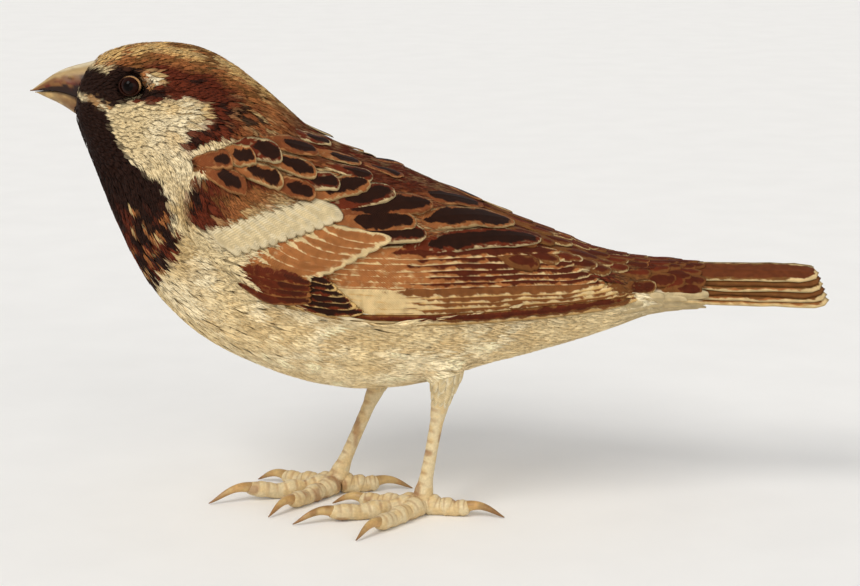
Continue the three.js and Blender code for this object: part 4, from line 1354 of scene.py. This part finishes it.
# %% Horn finish and the bill
def horn_material(name, roughness, grain, shine=0.25, gloss=0.06, stretch=None):
    """Horn, scale or eye; grain is in metres, shine and gloss are shares."""
    surface = {"Roughness": roughness, "Specular IOR Level": shine,
               "Coat Weight": gloss, "Coat Roughness": 0.2}
    return tinted_material(name, surface, grain, 4, 0.3, 0.2, 0.0001, stretch)


def tube(rings):
    """Points and outward faces of a closed loft through rings of equal length."""
    rings = np.asarray(rings, float)
    count, sides = rings.shape[:2]
    faces = []
    for i in range(count - 1):
        for j in range(sides):
            k = (j + 1) % sides
            faces.append((i * sides + j, i * sides + k, (i + 1) * sides + k, (i + 1) * sides + j))
    start, end = count * sides, count * sides + 1
    for j in range(sides):
        k = (j + 1) % sides
        faces.append((start, k, j))
        faces.append((end, (count - 1) * sides + j, (count - 1) * sides + k))
    points = np.concatenate([rings.reshape(-1, 3), rings[0].mean(0)[None], rings[-1].mean(0)[None]])
    tri = [(f[0], f[a], f[a + 1]) for f in faces for a in range(1, len(f) - 1)]
    a, b, c = (points[[t[n] for t in tri]] - points.mean(0) for n in range(3))
    if np.einsum("ij,ij->i", a, np.cross(b, c)).sum() < 0:
        faces = [f[::-1] for f in faces]
    return points, faces


def lofted(name, rings, tints, material):
    """A closed piece through rings of equal length, with a tint at each of their points."""
    points, faces = tube(rings)
    obj = new_object(name, to_row(points), faces)
    write_colour(obj.data, "tint", np.concatenate([tints, tints[:1], tints[-1:]]))
    obj.data.materials.append(material)
    return obj


BILL_BASE, BILL_GAPE, CULMEN, GONYS = -60.5, 76.9, 84.6, 71.9
BILL_HALF, OVERBITE = 4.2, 0.9
BILL_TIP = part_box("bill_upper")[0].x / MM - SHIFT[0]
BILL_TIP_Z = 78.6


def cutting_edge(t):
    """Height of the line where the bill closes, from its base (0) to its tip (1)."""
    u = np.clip(1.4 * t, 0, 1)
    return BILL_GAPE + (BILL_TIP_Z - BILL_GAPE) * u * u * (3 - 2 * u) + 0.35 * np.sin(np.pi * t)


def bill_tint(ring, up, t, hole, upper):
    """Horn by place: up is 0 at the cutting edge and 1 on the ridge, t runs to the tip."""
    mottle = lattice_noise(ring, 1.1, 61)
    cloud = mottle - 0.5
    if upper:
        fine, coarse = lattice_noise(ring, 0.8, 62), lattice_noise(ring, 0.9, 63)
        base = OLIVE
        layers = [
            (0.8 * TAN + 0.2 * OLIVE, smooth(0.6, 0.8, up + 0.25 * cloud)),
            (CREAM, smooth(0.86, 0.97, up) * smooth(0.35, 0.55, mottle) * 0.7),
            (0.6 * RUSSET + 0.4 * OLIVE, smooth(0.5, 0.62, coarse) * smooth(0.8, 0.6, up) * 0.45),
            (OLIVE, smooth(0.74, 0.62, up + 0.2 * cloud + 0.2 * t) * 0.85),
            (CHESTNUT, smooth(0.62, 0.4, up) * smooth(0.4, 0.55, fine)),
            (INK, smooth(0.46, 0.38, up + 0.25 * cloud + 0.22 * t)),
            (INK, hole * 0.6),
            (INK, smooth(0.35, 0.15, t + 0.3 * cloud) * smooth(0.72, 0.62, up + 0.3 * cloud)),
        ]
    else:
        base = 0.7 * TAN + 0.3 * OLIVE
        layers = [
            (OCHRE, smooth(0.5, 0.65, mottle) * 0.5),
            (OLIVE, smooth(0.75, 0.3, t + 0.3 * cloud) * 0.85),
            (INK, smooth(0.2, 0.06, up) * 0.9),
            (CHESTNUT, smooth(0.4, 0.1, t + 0.3 * cloud) * 0.7),
        ]
    tint = np.tile(base, (len(ring), 1))
    for colour, share in layers:
        tint = paint(tint, colour, share)
    return tint


BILL_STEPS, BILL_SIDES, BILL_FLAT = 44, 33, 5     # rings, points round each, points on its flat side
NOSTRIL_X, NOSTRIL_Z = -66.0, 81.2


def mandible(name, upper):
    tip = BILL_TIP if upper else BILL_TIP + OVERBITE
    angle = np.pi * np.arange(BILL_SIDES) / (BILL_SIDES - 1)
    rings, tints = [], []
    for t in 1 - (1 - np.linspace(0, 1, BILL_STEPS)) ** 1.3:
        x = BILL_BASE + (tip - BILL_BASE) * t
        edge = cutting_edge(t) + (0.07 if upper else -0.07)
        taper = max(0.03, 1 - t ** (1.15 if upper else 1.5))
        height = ((CULMEN - BILL_GAPE) if upper else (BILL_GAPE - GONYS)) * taper
        width = BILL_HALF * max(0.035, 1 - t ** 1.5) * (1 if upper else 0.93)
        rise = np.sin(angle) ** 0.9 * height
        y = np.cos(angle) * width
        z = edge + (rise if upper else -rise)
        hole = np.zeros(BILL_SIDES)
        if upper:
            hole = np.exp(-((x - NOSTRIL_X) / 0.45) ** 2 - ((z - NOSTRIL_Z) / 0.25) ** 2)
            y = y * (1 - 0.16 * hole)
        level = np.linspace(y[-1], y[0], BILL_FLAT + 2)[1:-1]
        ring = np.stack([np.full(BILL_SIDES, x), y, z], -1)
        flat = np.stack([np.full(BILL_FLAT, x), level, np.full(BILL_FLAT, edge)], -1)
        rings.append(np.concatenate([ring, flat]))
        up, hole = (np.concatenate([v, np.zeros(BILL_FLAT)]) for v in (rise / max(height, 1e-6), hole))
        tints.append(bill_tint(rings[-1], up, t, hole, upper))
    return lofted(name, rings, np.concatenate(tints), HORN)


HORN = horn_material("bill_horn", 0.46, 0.0007, stretch=(0.35, 1, 1))
bill = {"bill_upper": mandible("bill_upper_horn", True), "bill_lower": mandible("bill_lower_horn", False)}
print("bill from", round(BILL_TIP, 1), "to", BILL_BASE)

# %% [markdown]
# A sparrow's eye is a near-black bead with a dark brown iris, bulging at the cornea, set
# in a rim of tiny bare beads. The ball is a fine sphere turned to look outward, so that its
# rings are the pupil and iris. It is smooth enough to mirror the wide lamps softly.

# %% Eyes and their rims
EYE_SIDE, EYE_UP, EYE_R, CORNEA = 9.6, 80.7, 2.15, 0.12
EYE_SIDES = 40                             # rings of the ball, and points round each
RIM_STEPS, RIM_SIDES, RIM_BEADS = 144, 10, 28
GAZE = np.array([-0.2, -1.0, 0.08])
GAZE = GAZE / np.linalg.norm(GAZE)


def eye_frame(side):
    """Unit arrows along the gaze, across the eye and up."""
    ahead = GAZE * np.array([1, side, 1])
    across = np.cross([0, 0, 1.0], ahead)
    across /= np.linalg.norm(across)
    return ahead, across, np.cross(ahead, across)


def eye_ball(name, side):
    ahead, across, up = eye_frame(side)
    centre = np.array([EYE_X, -side * EYE_SIDE, EYE_UP])
    around = np.arange(EYE_SIDES) * 2 * math.pi / EYE_SIDES
    circle = np.cos(around)[:, None] * across + np.sin(around)[:, None] * up
    rings, tints = [], []
    for turn in np.linspace(0.02, math.pi - 0.02, EYE_SIDES):
        radius = EYE_R + CORNEA * math.exp(-(turn / 0.6) ** 2) - CORNEA
        rings.append(centre + radius * (ahead * math.cos(turn) + circle * math.sin(turn)))
        iris = smooth(0.42, 0.5, turn) * smooth(0.98, 0.9, turn)
        tints.append(paint(np.tile(0.1 * INK, (EYE_SIDES, 1)), 0.12 * CHESTNUT, np.full(EYE_SIDES, iris)))
    return lofted(name, rings, np.concatenate(tints), WET_EYE)


def eye_rim(name, side):
    """A ring of beads where the lids meet the ball."""
    ahead, across, up = eye_frame(side)
    centre = np.array([EYE_X, -side * EYE_SIDE, EYE_UP]) + ahead
    around = np.arange(RIM_SIDES) * 2 * math.pi / RIM_SIDES
    rings, tints = [], []
    for turn in np.arange(RIM_STEPS) * 2 * math.pi / RIM_STEPS:
        out = math.cos(turn) * across + math.sin(turn) * up * 0.86
        thick = 0.19 + 0.03 * math.sin(turn * RIM_BEADS)
        circle = np.cos(around)[:, None] * out + np.sin(around)[:, None] * ahead * 1.2
        rings.append(centre + out * 1.95 + thick * circle)
        back = smooth(0.1, 0.9, 0.6 * out[0] + 0.8 * out[2])
        dark = np.tile(0.1 * CHESTNUT + 0.6 * INK, (RIM_SIDES, 1))
        tints.append(paint(dark, 0.6 * RUSSET + 0.4 * TAN, np.full(RIM_SIDES, back * 0.9)))
    index = np.arange(RIM_STEPS * RIM_SIDES).reshape(RIM_STEPS, RIM_SIDES)
    turned_on, next_ring = np.roll(index, -1, 1), np.roll(index, -1, 0)
    quads = np.stack([index, turned_on, np.roll(next_ring, -1, 1), next_ring], -1).reshape(-1, 4)
    obj = new_object(name, to_row(np.concatenate(rings)), quads.tolist())
    write_colour(obj.data, "tint", np.concatenate(tints))
    work = bmesh.new()
    work.from_mesh(obj.data)
    bmesh.ops.recalc_face_normals(work, faces=work.faces)
    work.to_mesh(obj.data)
    work.free()
    obj.data.materials.append(BARE_SKIN)
    return obj


WET_EYE = horn_material("wet_eye", 0.12, 0.002, shine=0.07, gloss=0.0)
BARE_SKIN = horn_material("bare_lid_skin", 0.6, 0.0005, shine=0.06)
eyes = {f"eye_{word}": eye_ball(f"eye_ball_{word}", side) for word, side in SIDES.items()}
rims = [eye_rim(f"eye_rim_{word}", side) for word, side in SIDES.items()]

# %% [markdown]
# Shanks and toes are bone wrapped in scales: broad overlapping scutes down the front of the
# shank and the top of each toe, and soft pads beneath. They are lofts whose rings swell in a
# saw-tooth on the scaled side, so each scute has a real edge, and the creases are darker.
# A toe is flattened a little where it bears on the ground.

# %% Shanks, toes and claws
# Places of heel, foot and toe tips, all in mm; a toe also has its claw's length and its arch.
LEGS = {
    "left": dict(heel=(2.1, -9.2, 22.6), foot=(-1.4, -8.8, 2.9), toes=dict(
        middle=(-25.4, -16.4, 7.0, 1.9), inner=(-18.6, -3.4, 5.6, 1.6), outer=(-13.4, -25.8, 6.4, 1.7),
        hind=(13.9, -12.2, 6.6, 1.7))),
    "right": dict(heel=(-9.9, 7.2, 21.4), foot=(-18.0, 4.6, 2.9), toes=dict(
        middle=(-42.2, -3.6, 7.6, 2.5), inner=(-30.2, -12.0, 6.4, 1.7), outer=(-34.0, 12.4, 5.8, 1.6),
        hind=(-3.4, 6.4, 6.6, 1.7))),
}
SHANK = [(-0.1, 1.0), (0, 1.55), (0.1, 1.45), (0.24, 1.06), (0.55, 1.0), (0.8, 1.1), (0.94, 1.6), (1.04, 1.8)]
# Radii, starts and bends, in mm or as shares of a length.
SHANK_R, TOE_START, TOE_BASE, TOE_TIP, TOE_SINK, ARCH_FROM = 1.15, 0.6, 1.85, 1.3, 0.86, 0.55
CLAW_ROOT, CLAW_TIP, CLAW_BOW, CLAW_BURIED = 1.15, 0.3, 0.8, 0.9
LIMB_SIDES = 20


def saw(t):
    """A slow rise and a sharp fall in every unit of t."""
    part = t - math.floor(t)
    return smooth(0, 0.82, part) * (1 - smooth(0.86, 1.0, part))


def limb(path, radii, front, teeth, scale_depth, pad_depth, colours):
    """Rings and tints of a loft with scutes on the side that faces front, flat on the floor."""
    path = np.array(path, float)
    run = np.gradient(path, axis=0)
    run /= np.linalg.norm(run, axis=1)[:, None]
    rings, tints = [], []
    around = np.arange(LIMB_SIDES) * 2 * math.pi / LIMB_SIDES
    for i, (place, radius) in enumerate(zip(path, radii)):
        ahead = run[i]
        out = front - ahead * (front @ ahead)
        out /= np.linalg.norm(out)
        across = np.cross(ahead, out)
        facing = 0.5 + 0.5 * np.cos(around)
        tooth = saw(teeth * i / (len(path) - 1))
        scaled = smooth(0.35, 0.75, facing)
        padded = smooth(0.45, 0.1, facing)
        pads = math.sin(teeth * 1.1 * i / len(path) * math.pi)
        swell = 1 + scale_depth * scaled * (tooth - 0.5) + pad_depth * padded * pads
        circle = np.cos(around)[:, None] * out + np.sin(around)[:, None] * across
        ring = place + radius * swell[:, None] * circle
        ring[:, 2] = np.maximum(ring[:, 2], 0.0)
        mottle = lattice_noise(ring, 1.2, 71)
        skin_colour, crease, warm = colours
        tint = paint(np.tile(skin_colour, (LIMB_SIDES, 1)), warm, smooth(0.4, 0.65, mottle) * 0.8)
        tint = paint(tint, crease, scaled * smooth(0.35, 0.05, np.full(LIMB_SIDES, tooth)) * 0.4)
        tint = paint(tint, crease, smooth(0.66, 0.78, lattice_noise(ring, 2.4, 72)) * 0.6)
        rings.append(ring)
        tints.append(tint)
    return rings, np.concatenate(tints)


def shank(side):
    leg = LEGS[side]
    heel, foot = np.array(leg["heel"]), np.array(leg["foot"])
    share = np.linspace(SHANK[0][0], SHANK[-1][0], 90)
    radii = SHANK_R * blurred(table_at(SHANK, share)[:, None], 12)[:, 0]
    radii[:3] *= np.array([0.55, 0.8, 0.94])
    radii[-3:] *= np.array([0.97, 0.88, 0.7])
    path = heel + share[:, None] * (foot - heel)
    rings, tints = limb(path, radii, np.array([-1.0, 0, 0]), 11, 0.045, 0.0, LEG_COLOURS)
    return lofted(f"shank_{side}", rings, tints, LEG_SCALES)


def toe_line(leg, toe, steps):
    """A toe's centre line and radii, its direction, its length without the claw, and its root."""
    x, y, claw, arch = toe
    foot = np.array([leg["foot"][0], leg["foot"][1], 0.0])
    tip = np.array([x, y, 0.0])
    ahead = (tip - foot) / np.linalg.norm(tip - foot)
    reach_out = np.linalg.norm(tip - foot) - claw
    t = np.linspace(0, 1, steps)
    joint = 0.5 - 0.5 * np.cos(2 * math.pi * 3 * t)
    radii = (TOE_BASE + (TOE_TIP - TOE_BASE) * t) * (1 + 0.2 * joint * (1 - 0.4 * t))
    path = foot + ahead * (TOE_START + (reach_out - TOE_START) * t)[:, None]
    low = radii * TOE_SINK
    path[:, 2] = low + (arch - low) * 0.9 * smooth(ARCH_FROM, 1, t)
    return path, radii, ahead, reach_out, foot


def toe_piece(side, which):
    leg = LEGS[side]
    path, radii, *_ = toe_line(leg, leg["toes"][which], 72)
    radii[-4:] *= np.array([0.97, 0.92, 0.84, 0.68])
    radii[:3] *= np.array([0.7, 0.86, 0.95])
    rings, tints = limb(path, radii * 0.97, np.array([0, 0, 1.0]), 9, 0.055, 0.05, LEG_COLOURS)
    return lofted(f"toe_{which}_{side}_scales", rings, tints, LEG_SCALES)


def claw_piece(side, which):
    leg = LEGS[side]
    toe = leg["toes"][which]
    path, _, ahead, reach_out, foot = toe_line(leg, toe, 8)
    t = np.linspace(0, 1, 34)
    radii = CLAW_ROOT + (CLAW_TIP - CLAW_ROOT) * t ** 0.8
    start = reach_out - CLAW_BURIED
    line = foot + ahead * (start + (reach_out + toe[2] - start) * t)[:, None]
    root_z = path[-1, 2] + 0.15
    line[:, 2] = root_z + (radii * 0.8 - root_z) * smooth(0, 1, t) + CLAW_BOW * np.sin(math.pi * t)
    radii = radii * np.clip(1.02 - 0.75 * t ** 6, 0, 1)
    rings, tints = limb(line, radii, np.array([0, 0, 1.0]), 1, 0.0, 0.0, CLAW_COLOURS)
    shade = np.repeat(smooth(0.35, 1.0, t), LIMB_SIDES)
    tints = paint(tints, 0.7 * OLIVE + 0.3 * CHESTNUT, shade * 0.75)
    return lofted(f"claw_{which}_{side}_horn", rings, tints, CLAW_HORN)


LEG_COLOURS = (0.8 * BUFF + 0.2 * CREAM, 0.5 * RUSSET + 0.5 * OLIVE, 0.5 * OCHRE + 0.5 * BUFF)
CLAW_COLOURS = (0.5 * TAN + 0.5 * OCHRE, OLIVE, 0.6 * OCHRE + 0.4 * RUSSET)
LEG_SCALES = horn_material("leg_scales", 0.5, 0.0005)
CLAW_HORN = horn_material("claw_horn", 0.35, 0.0006)
legs = {}
for side in LEGS:
    legs[f"tarsus_{side}"] = shank(side)
    for which in LEGS[side]["toes"]:
        legs[f"toe_{which}_{side}"] = toe_piece(side, which)
        legs[f"claw_{which}_{side}"] = claw_piece(side, which)
print("legs:", len(legs), "pieces")

# %% [markdown]
# Where the thigh ends, its feathers run a little way down over the top of the shank, in a
# narrowing sleeve. A tuft field would end in a blunt edge there, so four rings of narrow
# blades are laid round the shank itself, pointing down.

# %% Sleeve of feathers at the top of each shank
SLEEVE = [(-8, 3.3), (-4.5, 3.0), (-2, 2.45), (0, 2.0), (2.5, 1.5)]      # mm down the shank, radius


class SleeveSurface:
    """Round the top of a shank: first coordinate is mm down it, the second the angle round it."""

    def __init__(self, leg):
        self.heel = np.array(leg["heel"])
        ahead = np.array(leg["foot"]) - self.heel
        self.ahead = ahead / np.linalg.norm(ahead)
        front = np.cross(self.ahead, [0.0, 1.0, 0.0])
        self.front = front / np.linalg.norm(front)
        self.across = np.cross(self.front, self.ahead)

    def scale(self, down, _):
        return table_at(SLEEVE, down)

    def at(self, down, angle, lift):
        down, angle = np.broadcast_arrays(down, angle)
        radius = self.scale(down, angle) + lift
        turn = np.cos(angle)[..., None] * self.front + np.sin(angle)[..., None] * self.across
        return self.heel + down[..., None] * self.ahead + radius[..., None] * turn


def sleeve(side):
    feathers = Feathers(SleeveSurface(LEGS[side]))
    for ring, end in enumerate((2.6, 0.6, -1.6, -3.6)):
        count = 9 + ring
        for k in range(count):
            angle = 2 * math.pi * (k + 0.5 * (ring % 2)) / count
            reach_end = end + 1.2 * float(hashed(np.array([[k, ring, 4]]), 8)[0])
            path = [(end - 5.5, angle), (end - 2, angle), (reach_end, angle)]
            feathers.blade(path, 0.95, -0.25 + 0.1 * ring, (CREAM, BUFF, 0.8 * BUFF + 0.2 * TAN), fringe=0.25,
                           core=0.6, core_from=0.3, rise=0.15, tip=0.6, seed=1300 + 20 * ring + k, tilt=0)
    return feathers.piece(f"thigh_sleeve_{side}", LARGE_FEATHERS)


sleeves = [sleeve(side) for side in LEGS]

# %% [markdown]
# Last, every piece rides on the bird's one body, and the working solids it stands for are
# hidden. The tufts that were copied are removed, and the triangles of every piece that
# renders, floor aside, are counted.

# %% Ride on the body and hide what is replaced
for source in TUFTS:
    bpy.data.objects.remove(source)
SLOTS = {"head": "plumage_head", "neck": "plumage_head", "upper": "plumage_upper",
         "under": "plumage_under", "thigh": "plumage_under"}


def hand_in(piece, slot, *nodes):
    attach(piece, "root")
    if nodes:
        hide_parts(*nodes)


hand_in(skin, "plumage_under", *FLESH)
for name, piece in coat.items():
    hand_in(piece, SLOTS[name.split("_")[1]])
for side in SIDES:
    hand_in(wings[f"wing_{side}"], "plumage_wing", *[w for w in WINGS if w.endswith(side)])
    hand_in(tails[f"tail_{side}"], "plumage_tail", f"tail_{side}")
    hand_in(eyes[f"eye_{side}"], "eye", f"eye_{side}")
hand_in(rump_coverts, "plumage_upper")
hand_in(vent_coverts, "plumage_under")
for piece in sleeves:
    hand_in(piece, "plumage_under")
for rim in rims:
    hand_in(rim, "leg_skin")
for node, piece in bill.items():
    hand_in(piece, "bill", node)
for node, piece in legs.items():
    hand_in(piece, "claw" if node.startswith("claw") else "leg_skin", node)

total = sum(triangles(o.data) for o in bpy.data.objects
            if o.type == "MESH" and not o.hide_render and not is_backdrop(o))
print("triangles in all:", total)
